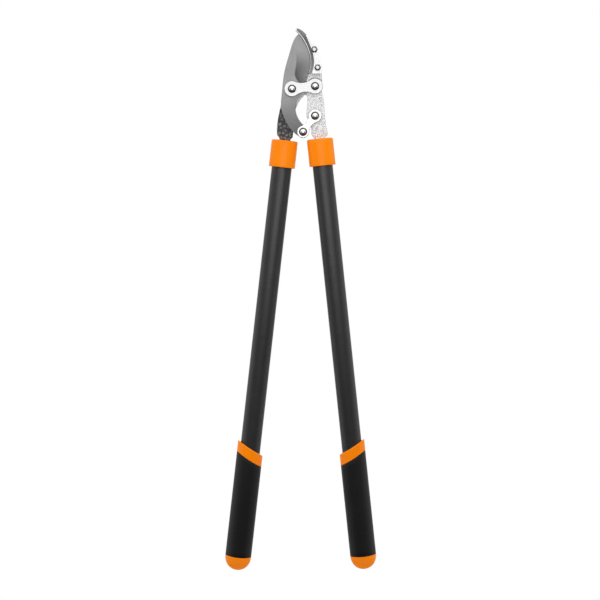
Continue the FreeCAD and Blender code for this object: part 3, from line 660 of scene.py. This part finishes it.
def flat_loops(node, depth):
    """Closed loops round a CAD node's flat faces at y = depth, as (x, z) arrays, longest first."""
    form = welded_form(node)
    flat = {face for face in form.faces if all(abs(v.co.y - depth) < WELD for v in face.verts)}
    rim = {edge for edge in form.edges if sum(face in flat for face in edge.link_faces) == 1}
    loops = []
    while rim:
        edge = min(rim, key=lambda item: item.index)
        first, at = edge.verts
        loop = [first]
        rim.discard(edge)
        while at != first:
            loop.append(at)
            edge = [item for item in at.link_edges if item in rim][0]
            rim.discard(edge)
            at = edge.other_vert(at)
        loops.append(np.array([(v.co.x, v.co.z) for v in loop]))
    form.free()
    return sorted(loops, key=lambda item: -np.ptp(item, axis=0).sum())


def signed_area(loop):
    """Twice the area inside a loop, positive if it runs anticlockwise."""
    after = np.roll(loop, -1, axis=0)
    return float(np.sum(loop[:, 0] * after[:, 1] - after[:, 0] * loop[:, 1]))


def steps_of(loop):
    """The steps that lead to each point of a loop and away from it."""
    return loop - np.roll(loop, 1, axis=0), np.roll(loop, -1, axis=0) - loop


def travelled(line):
    """The distance along a line up to each of its points."""
    return np.concatenate([[0], np.cumsum(np.linalg.norm(np.diff(line, axis=0), axis=1))])


def even_loop(loop, step, anticlockwise=True):
    """The same loop with evenly spaced points. Points where it turns sharply are kept."""
    if (signed_area(loop) > 0) != anticlockwise:
        loop = loop[::-1]
    before, after = steps_of(loop)
    turn = np.degrees(np.arctan2(before[:, 0] * after[:, 1] - before[:, 1] * after[:, 0],
                                 np.sum(before * after, axis=1)))
    corners = list(np.nonzero(np.abs(turn) > CORNER)[0]) or [0]
    points = []
    for start, end in zip(corners, corners[1:] + [corners[0] + len(loop)]):
        run = loop[np.arange(start, end + 1) % len(loop)]
        along = travelled(run)
        count = max(1, round(along[-1] / step))
        at = np.linspace(0, along[-1], count + 1)[:-1]
        points.append(np.stack([np.interp(at, along, run[:, axis]) for axis in (0, 1)], axis=1))
    return np.concatenate(points)


def into_metal(loop):
    """Directions at right angles to a loop, into the metal on its left."""
    sides = [np.stack([-edge[:, 1], edge[:, 0]], axis=1) / np.linalg.norm(edge, axis=1)[:, None]
             for edge in steps_of(loop)]
    both = sides[0] + sides[1]
    length = np.linalg.norm(both, axis=1)[:, None]
    both = both / np.maximum(length, 1e-9)
    mitre = np.maximum(np.sum(both * sides[0], axis=1), 0.5)[:, None]
    return both / mitre

# %% Measure from an outline
def distance_to(points, line, closed=False):
    """Shortest distance from each point to a line of points."""
    ends = np.roll(line, -1, axis=0) if closed else line[1:]
    starts = line if closed else line[:-1]
    best = np.full(len(points), 1e9)
    for start, end in zip(starts, ends):
        span = end - start
        share = np.clip((points - start) @ span / max(span @ span, 1e-18), 0, 1)
        best = np.minimum(best, np.linalg.norm(points - start - share[:, None] * span, axis=1))
    return best


def inside(points, loop):
    """True for points inside a loop."""
    x, z = points[:, 0], points[:, 1]
    result = np.zeros(len(points), bool)
    for (ax, az), (bx, bz) in zip(loop, np.roll(loop, -1, axis=0)):
        if az != bz:
            crossing = (az > z) != (bz > z)
            result ^= crossing & (x < (bx - ax) * (z - az) / (bz - az) + ax)
    return result


def smooth_line(points, step):
    """Even points on a smooth curve through a few given points."""
    points = np.array(points, float)
    along = travelled(points)
    slope = np.gradient(points, along, axis=0)
    result = []
    for at in np.linspace(0, along[-1], max(2, round(along[-1] / step)) + 1):
        k = min(np.searchsorted(along, at, side="right") - 1, len(points) - 2)
        width = along[k + 1] - along[k]
        t = (at - along[k]) / width
        result.append((2 * t**3 - 3 * t**2 + 1) * points[k]
                      + (t**3 - 2 * t**2 + t) * width * slope[k]
                      + (3 * t**2 - 2 * t**3) * points[k + 1]
                      + (t**3 - t**2) * width * slope[k + 1])
    return np.array(result)


def ease(values, low, high):
    """0 below low, 1 above high and a smooth change between."""
    share = np.clip((values - low) / (high - low), 0, 1)
    return share * share * (3 - 2 * share)

# %% Fill and build a plate
INSIDE_ONLY = 1               # the triangulation's own name for: only triangles within the outline
ROW_HEIGHT = 0.866            # rows of an even triangle grid lie this share of a step apart
LINE_ROOM = 0.45              # grid points keep this share of a step from every line


def fill(loops, step, guides=()):
    """Triangles that fill the first loop and leave the others open. Guides are lines to follow."""
    low, high = loops[0].min(axis=0), loops[0].max(axis=0)
    rows = np.arange(low[1], high[1], step * ROW_HEIGHT)
    grid = np.array([(x + (step / 2 if number % 2 else 0), z)
                     for number, z in enumerate(rows) for x in np.arange(low[0], high[0], step)])
    keep = inside(grid, loops[0])
    for loop in loops[1:]:
        keep &= ~inside(grid, loop)
    grid = grid[keep]
    points, edges = [], []
    for line, closed in [(loop, True) for loop in loops] + [(guide, False) for guide in guides]:
        grid = grid[distance_to(grid, line, closed) > step * LINE_ROOM]
        start, count = len(points), len(line)
        points += [tuple(point) for point in line]
        last = count if closed else count - 1
        edges += [(start + i, start + (i + 1) % count) for i in range(last)]
    points += [tuple(point) for point in grid]
    corners = [Vector(point) for point in points]
    found = geometry.delaunay_2d_cdt(corners, edges, [], INSIDE_ONLY, 1e-7)
    flat, faces, origin = found[0], found[2], found[3]
    flat = np.array([tuple(point) for point in flat])
    centres = np.array([flat[list(face)].mean(axis=0) for face in faces])
    keep = np.ones(len(faces), bool)
    for loop in loops[1:]:
        keep &= ~inside(centres, loop)
    return flat, [face for face, kept in zip(faces, keep) if kept], origin


def build_plate(name, loops, front, back, rim, step, guides=()):
    """A closed plate. Front and back give y at each point, rim is (inset, drop) to the wall."""
    points, faces, first_rings = [], [], []
    for loop in loops:
        side = into_metal(loop)
        rings = [(loop + side * inset, front, drop) for inset, drop in rim]
        rings += [(loop + side * inset, back, -drop) for inset, drop in reversed(rim)]
        start, count = len(points), len(loop)
        for flat, surface, drop in rings:
            points += [(x, y + drop, z) for (x, z), y in zip(flat, surface(flat))]
        for ring in range(len(rings) - 1):
            a, b = start + ring * count, start + (ring + 1) * count
            for i in range(count):
                j = (i + 1) % count
                faces.append((a + i, b + i, b + j, a + j))
        first_rings.append((rings[0][0], start, start + (len(rings) - 1) * count))
    flat, triangles, origin = fill([ring[0] for ring in first_rings], step, guides)
    rim_index = [(front_start + i, back_start + i) for ring, front_start, back_start in first_rings
                 for i in range(len(ring))]
    front_at, back_at = {}, {}
    y_front, y_back = front(flat), back(flat)
    for index, sources in enumerate(origin):
        known = [source for source in sources if source < len(rim_index)]
        if known:
            front_at[index], back_at[index] = rim_index[known[0]]
        else:
            front_at[index], back_at[index] = len(points), len(points) + 1
            points += [(flat[index][0], y, flat[index][1]) for y in (y_front[index], y_back[index])]
    faces += [tuple(front_at[i] for i in face) for face in triangles]
    faces += [tuple(back_at[i] for i in reversed(face)) for face in triangles]
    used = sorted({i for face in faces for i in face})
    renumber = {old: new for new, old in enumerate(used)}
    return mesh_from(name, [points[i] for i in used],
                     [tuple(renumber[i] for i in face) for face in faces])


def round_rim(radius, steps):
    """The (inset, drop) steps of a rounded rim."""
    angles = [math.radians(90 * i / steps) for i in range(steps + 1)]
    return [(radius * (1 - math.sin(a)), radius * (1 - math.cos(a))) for a in angles]


def write_zone(mesh, name, values):
    """Keep a value between 0 and 1 on every point or every face, for the material to read."""
    domain = "POINT" if len(values) == len(mesh.vertices) else "FACE"
    zone = mesh.attributes.new(name, "FLOAT", domain)
    zone.data.foreach_set("value", np.clip(values, 0, 1).astype(np.float32))


def flat_points(mesh):
    """The mesh points as an (x, z) array and their y values."""
    co = np.array([vertex.co for vertex in mesh.vertices])
    return co[:, [0, 2]], co[:, 1]


def face_points(mesh):
    """The middle of each face as an (x, z) array, its y and how far the face looks along y."""
    middles = np.array([face.center for face in mesh.polygons])
    facing = np.array([face.normal.y for face in mesh.polygons])
    return middles[:, [0, 2]], middles[:, 1], facing

# %% [markdown]
# ## The cutting blade
# The blade is ground hollow on its front below the cutting edge, so that wet wood doesn't cling to
# it, and it has a long bevel on its back. The hollow starts at a soft line, is deepest there and
# runs out towards the edge and towards the tip. The bevel leaves a thin flat at the very edge.

# %% Cutting blade
STEP = 0.0009
BLADE_RIM = 0.00018
HOLLOW_LINE = [(-5.0, 80.5), (-8.2, 85.0), (-10.6, 91.0), (-10.2, 97.0), (-8.9, 104.0),
               (-8.4, 110.0), (-8.7, 116.0), (-9.6, 124.0), (-10.4, 130.0)]
HOLLOW_DEPTH = 0.00050
HOLLOW_FADE = (0.104, 0.128)
CREASE = (0.086, 0.118)       # heights between which the hollow's line shows as a crease
BEVEL_WIDTH, BEVEL_DEPTH = 0.0075, 0.0033
CUTTING_START = 0.0905        # height where the cutting edge begins

blade_low, blade_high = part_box("cutting_blade")
blade_loops = flat_loops("cutting_blade", blade_low.y)
blade_loops = [even_loop(loop, STEP, number == 0) for number, loop in enumerate(blade_loops)]
hollow_line = smooth_line(np.array(HOLLOW_LINE) * MM, 0.0008)
tip = blade_loops[0][np.argmax(blade_loops[0][:, 1])]
above_start = blade_loops[0][:, 1] > CUTTING_START
right_side = blade_loops[0][above_start & (blade_loops[0][:, 0] > tip[0])]
cutting_edge = right_side[np.argsort(right_side[:, 1])]


def hollow_share(flat):
    """How much of the hollow is felt at each point, and how near it is to its starting line."""
    start_x = np.interp(flat[:, 1], hollow_line[:, 1], hollow_line[:, 0])
    from_line = distance_to(flat, hollow_line) * np.sign(flat[:, 0] - start_x)
    to_edge = distance_to(flat, cutting_edge)
    runs = ease(from_line, 0.0, 0.0012) * (1 - ease(flat[:, 1], *HOLLOW_FADE))
    near = to_edge / np.maximum(to_edge + np.maximum(from_line, 0), 1e-6)
    return runs * ease(flat[:, 1], 0.072, 0.084), near


def blade_front(flat):
    """The front, hollowed out below the cutting edge."""
    runs, near = hollow_share(flat)
    return blade_low.y + HOLLOW_DEPTH * runs * (0.25 + 0.75 * near)


def blade_back(flat):
    """The back, with its long bevel down to the cutting edge."""
    share = np.clip(1 - distance_to(flat, cutting_edge) / BEVEL_WIDTH, 0, 1)
    return blade_high.y - BEVEL_DEPTH * share


crease = hollow_line[(hollow_line[:, 1] > CREASE[0]) & (hollow_line[:, 1] < CREASE[1])]
blade_mesh = build_plate("cutting_blade_ground", blade_loops, blade_front, blade_back,
                         round_rim(BLADE_RIM, 2), STEP, [crease])
flat, depth = flat_points(blade_mesh)
runs, near = hollow_share(flat)
is_front = depth < (blade_low.y + blade_high.y) / 2
# painted shade: the hollow's shade is strongest low down and fades upwards
painted_shade_low = 1 - 0.55 * ease(flat[:, 1], 0.088, 0.120)
write_zone(blade_mesh, "hollow", runs * is_front * (0.35 + 0.65 * near) * painted_shade_low)
stand_in("cutting_blade_ground", "cutting_blade", blade_mesh, tidy_normals=True)

# %% [markdown]
# ## The hook
# The counter blade is a flat hook with a ground slope towards the mouth and a narrow bright land
# at its inner edge. The slope's upper line is the outline of the CAD plate's small front face.

# %% Hook
LAND_WIDTH, LAND_DROP = 0.0015, 0.0004
MOUTH_SHADOW_WIDTH = 0.0005            # painted shadow: a dark strip along the very edge of the mouth
SLOPE_DROP = 0.0015
HOOK_STEP, HOOK_RIM = 0.0008, 0.0002

hook_low, hook_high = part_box("counter_blade")
hook_loops = [even_loop(loop, HOOK_STEP, number == 0)
              for number, loop in enumerate(flat_loops("counter_blade", hook_high.y))]
face_loop = even_loop(flat_loops("counter_blade", hook_low.y)[0], HOOK_STEP)
slope_foot = hook_low.y + SLOPE_DROP


def run_between(loop, start, end):
    """The part of a loop from one of its points round to another."""
    turned = np.roll(loop, -start, axis=0)
    return turned[:(end - start) % len(loop) + 1]


hook_outer = hook_loops[0]
hook_tip = int(np.argmin(hook_outer[:, 0]))
bottom = hook_outer[:, 1] < hook_outer[:, 1].min() + 0.0001
mouth_foot = int(np.argmin(np.where(bottom, hook_outer[:, 0], 1.0)))
mouth_side = run_between(hook_outer, hook_tip, mouth_foot)
inwards = into_metal(hook_outer)
land_line = run_between(hook_outer + inwards * LAND_WIDTH, hook_tip, mouth_foot)[4:-1]
mouth_shadow_line = run_between(hook_outer + inwards * MOUTH_SHADOW_WIDTH, hook_tip, mouth_foot)[2:-1]
own_line = face_loop[distance_to(face_loop, hook_outer, True) > 0.0009]
own_line = own_line[np.argsort(own_line[:, 1])]


def hook_front(flat):
    """The slope climbs from the land to the face, and the land falls a little towards the mouth."""
    from_mouth, from_face = distance_to(flat, mouth_side), distance_to(flat, face_loop, True)
    rise = from_mouth / np.maximum(from_mouth + from_face, 1e-9)
    on_land = np.clip(1 - from_mouth / LAND_WIDTH, 0, 1)
    slope = slope_foot - SLOPE_DROP * rise + LAND_DROP * on_land
    on_face = inside(flat, face_loop) | (from_face < 1e-6)
    return np.where(on_face, hook_low.y, slope)


def hook_back(flat):
    """The back of the hook is flat, because the blade slides along it."""
    return np.full(len(flat), hook_high.y)


hook_mesh = build_plate("counter_blade_ground", hook_loops, hook_front, hook_back,
                        round_rim(HOOK_RIM, 2), HOOK_STEP, [land_line, mouth_shadow_line, own_line])
flat, depth, facing = face_points(hook_mesh)
from_mouth = distance_to(flat, mouth_side)
front_side = facing < -0.4
write_zone(hook_mesh, "land", front_side & (from_mouth < LAND_WIDTH))
# the strip at the mouth's edge carries the painted shadow
write_zone(hook_mesh, "painted_mouth_shadow", (facing < 0.2) & (from_mouth < MOUTH_SHADOW_WIDTH))
write_zone(hook_mesh, "slope", front_side & (from_mouth >= LAND_WIDTH) & ~inside(flat, face_loop))
stand_in("counter_blade_ground", "counter_blade", hook_mesh, tidy_normals=True)

# %% [markdown]
# ## Rivets
# A rivet head is set by a hollow punch: a ball-like dome that turns in sharply at its foot. The
# profile is drawn as radius and depth and spun about the rivet's own axis, which the CAD box gives.

# %% Rivets
SPIN_STEPS = 56
DOME_RADIUS, DOME_HEIGHT, DOME_STEPS = 5.6 * MM, 4.5 * MM, 14
REAR_RADIUS, REAR_HEIGHT, REAR_STEPS = 6.4 * MM, 2.4 * MM, 9
PIN_RADIUS = {"pivot": 4.0 * MM, "link": 3.2 * MM}
BROKEN_EDGE = 0.0001


def around(centre, radius, angle, depth):
    """A point at a distance and an angle round a centre (x, z), at depth y."""
    return (centre[0] + radius * math.cos(angle), depth, centre[1] + radius * math.sin(angle))


def spin(name, profile, centre):
    """A turned piece: its profile points are (radius, y), turned about the centre."""
    points, faces, rings = [], [], []
    for radius, depth in profile:
        if radius < 1e-6:
            rings.append([len(points)] * SPIN_STEPS)
            points.append((centre[0], depth, centre[1]))
            continue
        rings.append([len(points) + i for i in range(SPIN_STEPS)])
        points += [around(centre, radius, 2 * math.pi * i / SPIN_STEPS, depth)
                   for i in range(SPIN_STEPS)]
    for upper, lower in zip(rings, rings[1:]):
        for i in range(SPIN_STEPS):
            j = (i + 1) % SPIN_STEPS
            face = [upper[i], upper[j], lower[j], lower[i]]
            faces.append([v for k, v in enumerate(face) if v not in face[:k]])
    return mesh_from(name, points, [face for face in faces if len(face) > 2])


def dome(radius, height, base, direction, steps):
    """Points over a dome from its middle to its foot, as (radius, y)."""
    ball = (radius ** 2 + height ** 2) / (2 * height)
    reach = math.asin(min(1.0, radius / ball))
    if height > radius:
        reach = math.pi - reach
    turns = [reach * i / steps for i in range(steps + 1)]
    return [(ball * math.sin(turn), base + direction * (height - ball * (1 - math.cos(turn))))
            for turn in turns]


for rivet in ("blade_pivot_rivet", "handle_pivot_rivet", "link_handle_rivet", "link_tail_rivet"):
    low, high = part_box(rivet)
    centre = ((low.x + high.x) / 2, (low.z + high.z) / 2)
    pin = PIN_RADIUS["pivot" if "pivot" in rivet else "link"]
    face = low.y + DOME_HEIGHT
    rear = high.y - REAR_HEIGHT
    front_dome = dome(DOME_RADIUS, DOME_HEIGHT, face, -1, DOME_STEPS)
    rear_dome = dome(REAR_RADIUS, REAR_HEIGHT, rear, 1, REAR_STEPS)
    shank = [(DOME_RADIUS, face - BROKEN_EDGE), (DOME_RADIUS - BROKEN_EDGE, face), (pin, face),
             (pin, rear), (REAR_RADIUS - BROKEN_EDGE, rear), (REAR_RADIUS, rear + BROKEN_EDGE)]
    profile = front_dome[:-1] + shank + rear_dome[-2::-1]
    stand_in(rivet + "_set", rivet, spin(rivet + "_set", profile, centre))

# %% [markdown]
# ## Bolts and nuts
# A hexagon nut is a hexagon bar with its corners turned away by a cone, which leaves the curved
# edges on its flats. Here the top of each wall is lowered by how far it sticks out past the cone.
# The bolt's end carries a real screw thread: a ridge that climbs one pitch for each turn.

# %% Bolts and nuts
HEX_FLATS, THREAD_RADIUS, PITCH = 8.0 * MM, 2.5 * MM, 0.8 * MM
HEX_STEPS = 72
NUT_CHAMFER, HEAD_CHAMFER = math.tan(math.radians(48)), math.tan(math.radians(30))
NUT_CROWN, HEAD_CROWN = 2.9 * MM, 3.8 * MM    # radius of the flat face inside the chamfer
HEAD_HEIGHT = 3.4 * MM
HOLE_BREAK = 0.0003           # chamfer at the mouth of a nut's hole
THREAD_DEPTH, THREAD_END = 0.00035, 0.0004    # the end of the thread is turned down
THREAD_STEPS = 44
CENTRE_MARK = 0.75 * MM       # radius and depth of the drill mark in the bolt's end
TURNS = [2 * math.pi * i / HEX_STEPS for i in range(HEX_STEPS)]


def hex_radius(angle):
    """Distance from the middle of a hexagon to its side in a direction."""
    turn = (math.degrees(angle) % 60.0) - 30.0
    return HEX_FLATS / 2 / math.cos(math.radians(turn))


def ring_surface(rings, ends=()):
    """Points and faces through rings that all have the same number of points.

    The last ring joins the first, or else two end points close the first and the last ring.
    """
    count = len(rings[0])
    points = [point for ring in rings for point in ring]
    last = len(points) - count
    faces = []
    for a in range(0, last if ends else len(points), count):
        b = (a + count) % len(points)
        faces += [(a + i, a + (i + 1) % count, b + (i + 1) % count, b + i) for i in range(count)]
    for start, end in zip((0, last), ends):
        faces += [(start + i, start + (i + 1) % count, len(points)) for i in range(count)]
        points.append(end)
    return points, faces


def join(parts):
    """One set of points and faces from several."""
    points, faces = [], []
    for more_points, more_faces in parts:
        faces += [[index + len(points) for index in face] for face in more_faces]
        points += more_points
    return points, faces


def hex_rings(centre, face, base, inner, crown, chamfer):
    """Rings of a hexagon head from the hole at its face, over the wall, to the hole at its base."""
    toward = 1 if base > face else -1

    def ring(radius, depth):
        """A round ring."""
        return [around(centre, radius, turn, depth) for turn in TURNS]

    corners = [(turn, hex_radius(turn)) for turn in TURNS]
    chamfered = [around(centre, r, turn, face + toward * (r - crown) * chamfer)
                 for turn, r in corners]
    wall_foot = [around(centre, r, turn, base) for turn, r in corners]
    return [ring(inner + HOLE_BREAK, face), ring(crown, face), chamfered, wall_foot,
            ring(inner, base), ring(inner, face + toward * HOLE_BREAK)]


def thread_rings(centre, start, end):
    """Rings of a screw thread between two depths, from the front tip back."""
    rings = []
    for number in range(THREAD_STEPS + 1):
        depth = start + (end - start) * number / THREAD_STEPS
        taper = max(0.0, THREAD_END - abs(depth - start))
        ring = []
        for turn in TURNS:
            phase = (depth / PITCH + turn / (2 * math.pi)) % 1.0
            radius = THREAD_RADIUS - THREAD_DEPTH * abs(2 * phase - 1) - taper * 0.9
            ring.append(around(centre, radius, turn, depth))
        rings.append(ring)
    return rings


nut_low, nut_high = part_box("counter_blade_nuts")
bolt_low, bolt_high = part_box("counter_blade_bolts")
half_wide, half_high = HEX_FLATS / math.sqrt(3), HEX_FLATS / 2
nut_centres = [(nut_low.x + half_wide, nut_high.z - half_high),
               (nut_high.x - half_wide, nut_low.z + half_high)]
print("nut centres in mm:", [[round(v / MM, 2) for v in centre] for centre in nut_centres])

head_base = bolt_high.y - HEAD_HEIGHT
nuts, bolts = [], []
for centre in nut_centres:
    nuts.append(ring_surface(hex_rings(centre, nut_low.y, nut_high.y, THREAD_RADIUS, NUT_CROWN,
                                       NUT_CHAMFER)))
    mark = [around(centre, CENTRE_MARK, turn, bolt_low.y) for turn in TURNS]
    head = hex_rings(centre, bolt_high.y, head_base, THREAD_RADIUS - THREAD_END, HEAD_CROWN,
                     HEAD_CHAMFER)
    rings = [mark, *thread_rings(centre, bolt_low.y, head_base), *head[3::-1]]
    ends = [(centre[0], depth, centre[1]) for depth in (bolt_low.y + CENTRE_MARK, bolt_high.y)]
    bolts.append(ring_surface(rings, ends))
stand_in("counter_blade_nuts_hex", "counter_blade_nuts",
         mesh_from("counter_blade_nuts_hex", *join(nuts)), sharp=22.0)
stand_in("counter_blade_bolts_hex", "counter_blade_bolts",
         mesh_from("counter_blade_bolts_hex", *join(bolts)), sharp=30.0)

# %% [markdown]
# ## Handle mouldings
# Collar, ring, grip cover and cap are all oval mouldings round one slanted axis. Each is a stack of
# oval rings: from the bore over the rounded rim, down the outside and back through the bore. A ring
# is described by its half width, half depth and height, and the height may change across the ring,
# which gives the slanted and sagging seams of the grip.

# %% Axis of each handle
HANDLE_TILT = {"left": 6.4, "right": -5.95}
OVAL_STEPS = 96


def handle_frame(side):
    """The matrix from a handle's own axis to the tool, from the middle of the collar's top."""
    tilt = Matrix.Rotation(math.radians(HANDLE_TILT[side]), 4, "Y")
    tube, collar = (np.array([tilt.inverted() @ v.co for v in cad_nodes[node].data.vertices])
                    for node in (side + "_tube", side + "_collar"))
    middle = [(tube[:, axis].min() + tube[:, axis].max()) / 2 for axis in (0, 1)]
    return Matrix.Translation(tilt @ Vector((*middle, collar[:, 2].max()))) @ tilt


def level(height, x):
    """A height at x. The height is a number or a function of x."""
    return height(x) if callable(height) else height


def shifted(height, amount):
    """A height moved up by an amount."""
    return lambda x: level(height, x) + amount


def oval_ring(half_width, half_depth, height):
    """One oval ring. Height is a number or a function of x."""
    ring = []
    for i in range(OVAL_STEPS):
        angle = 2 * math.pi * i / OVAL_STEPS
        x, y = half_width * math.cos(angle), half_depth * math.sin(angle)
        ring.append((x, y, level(height, x)))
    return ring


def rim_rings(half, height, radius, down, steps):
    """Rings over a rounded rim: from the flat end to the wall, or back if down is False."""
    sign = -1 if down else 1
    rings = [oval_ring(half[0] - inset, half[1] - inset, shifted(height, sign * drop))
             for inset, drop in round_rim(radius, steps)]
    return rings if down else rings[::-1]


def wall_rings(half, top, foot, count):
    """Rings down a straight wall between two heights, which may both be functions of x."""
    return [oval_ring(*half, lambda x, s=k / count: level(top, x) * (1 - s) + level(foot, x) * s)
            for k in range(1, count)]


def moulding(side, piece, rings, ends=()):
    """A moulding from rings in the handle's own axes, hollow or closed by two end points."""
    matrix = handle_frame(side)
    points, faces = ring_surface(rings, ends)
    name, node = f"{side}_{piece}_moulding", f"{side}_{piece}"
    mesh = mesh_from(name, [matrix @ Vector(point) for point in points], faces)
    stand_in(name, node, mesh, sharp=40.0)

# %% Collars
COLLAR, COLLAR_LENGTH = (17.6 * MM, 13.3 * MM), 36.5 * MM
COLLAR_TOP_RIM, COLLAR_FOOT_RIM = 2.2 * MM, 0.7 * MM
TUBE_BORE = (13.6 * MM, 9.6 * MM)
SOCKET_TOP = -2.9 * MM
SLOT_HALF = (7.6 * MM, 3.1 * MM)


def slot_ring(height):
    """A ring that follows the straight sides of the tang slot."""
    corner = math.atan2(SLOT_HALF[1], SLOT_HALF[0])
    angles = [2 * math.pi * i / OVAL_STEPS for i in range(OVAL_STEPS)]
    for wanted in (corner, math.pi - corner, math.pi + corner, 2 * math.pi - corner):
        nearest = min(range(OVAL_STEPS), key=lambda i: abs(angles[i] - wanted))
        angles[nearest] = wanted
    ring = []
    for angle in angles:
        across, along = abs(math.cos(angle)), abs(math.sin(angle))
        reach = min(SLOT_HALF[0] / max(across, 1e-9), SLOT_HALF[1] / max(along, 1e-9))
        ring.append((reach * math.cos(angle), reach * math.sin(angle), height))
    return ring


for side in ("left", "right"):
    rings = [slot_ring(SOCKET_TOP), slot_ring(0.0),
             *rim_rings(COLLAR, 0.0, COLLAR_TOP_RIM, True, 6),
             *wall_rings(COLLAR, -COLLAR_TOP_RIM, -COLLAR_LENGTH + COLLAR_FOOT_RIM, 8),
             *rim_rings(COLLAR, -COLLAR_LENGTH, COLLAR_FOOT_RIM, False, 3),
             oval_ring(*TUBE_BORE, -COLLAR_LENGTH), oval_ring(*TUBE_BORE, SOCKET_TOP)]
    moulding(side, "collar", rings)

# %% Grip ring, cover and cap
RING, GRIP = (17.5 * MM, 13.3 * MM), (17.4 * MM, 13.15 * MM)
CORE, COVER_BORE = (15.3 * MM, 11.3 * MM), (15.4 * MM, 11.4 * MM)
RING_TOP, RING_FOOT, CAP_SEAM = 414.5 * MM, 429.7 * MM, 560.6 * MM
RING_SLANT, RING_SAG, CAP_SAG = math.tan(math.radians(27)), 1.3 * MM, 2.2 * MM
CAP_CENTRE, CAP_HEIGHT, CAP_STEPS = 562.0 * MM, 17.4 * MM, 18
CORE_FOOT, TUBE_FOOT, PLUG_TOP = 558.0 * MM, 565.1 * MM, 546.0 * MM
PLUG, PLUG_CHAMFER = (11.9 * MM, 7.9 * MM), 0.5 * MM
SEAM_GAP = 0.06 * MM
RING_RIM, FOOT_RIM = 1.5 * MM, 0.25 * MM      # rounding of the ring's upper and lower rim
SOFT_RIM = 0.35 * MM          # rounding of the cover's ends and of the cap's seam


def seam(middle, slant, sag, outside):
    """Height of a seam across the handle: tilted towards the outside and sagging in the middle."""
    return lambda x: -middle - sag * (1 - (x / GRIP[0]) ** 2) + outside * slant * x


def end_cap_rings(cap_line):
    """Rings of the cap from the middle of its plug, over the seat and the dome, to its foot."""
    rings = [oval_ring(PLUG[0] - PLUG_CHAMFER, PLUG[1] - PLUG_CHAMFER, -PLUG_TOP),
             oval_ring(*PLUG, -PLUG_TOP - PLUG_CHAMFER), oval_ring(*PLUG, -TUBE_FOOT),
             oval_ring(*TUBE_BORE, -TUBE_FOOT), oval_ring(*TUBE_BORE, cap_line),
             *rim_rings(GRIP, cap_line, SOFT_RIM, True, 3)]
    for i in range(2, CAP_STEPS):
        angle = math.radians(90 * i / CAP_STEPS)
        across, down = math.cos(angle), math.sin(angle)

        def height(x):
            """The dome's own height, with what is left of the seam's sag."""
            seam_shape = cap_line(x / max(across, 0.2)) + CAP_CENTRE
            return -CAP_CENTRE - CAP_HEIGHT * down + seam_shape * (1 - down) ** 2

        rings.append(oval_ring(GRIP[0] * across, GRIP[1] * across, height))
    return rings


for side, outside in (("left", -1), ("right", 1)):
    ring_top = seam(RING_TOP, RING_SLANT, RING_SAG, outside)
    ring_foot = seam(RING_FOOT, RING_SLANT, RING_SAG, outside)
    cap_line = seam(CAP_SEAM, 0.0, CAP_SAG, outside)
    core_rings = [*rim_rings(RING, ring_top, RING_RIM, True, 5),
                  *wall_rings(RING, shifted(ring_top, -RING_RIM), shifted(ring_foot, FOOT_RIM), 5),
                  *rim_rings(RING, ring_foot, FOOT_RIM, False, 2),
                  oval_ring(*CORE, ring_foot), *wall_rings(CORE, ring_foot, -CORE_FOOT, 14),
                  oval_ring(*CORE, -CORE_FOOT), oval_ring(*TUBE_BORE, -CORE_FOOT),
                  *wall_rings(TUBE_BORE, -CORE_FOOT, ring_top, 14), oval_ring(*TUBE_BORE, ring_top)]
    moulding(side, "grip_core", core_rings)
    top, foot = shifted(ring_foot, -SEAM_GAP), shifted(cap_line, SEAM_GAP)
    cover_rings = [oval_ring(*COVER_BORE, top), *rim_rings(GRIP, top, SOFT_RIM, True, 3),
                   *wall_rings(GRIP, shifted(top, -SOFT_RIM), shifted(foot, SOFT_RIM), 18),
                   *rim_rings(GRIP, foot, SOFT_RIM, False, 3), oval_ring(*COVER_BORE, foot),
                   *wall_rings(COVER_BORE, foot, top, 6)]
    moulding(side, "grip_cover", cover_rings)
    ends = [(0.0, 0.0, -PLUG_TOP), (0.0, 0.0, -CAP_CENTRE - CAP_HEIGHT)]
    moulding(side, "end_cap", end_cap_rings(cap_line), ends)
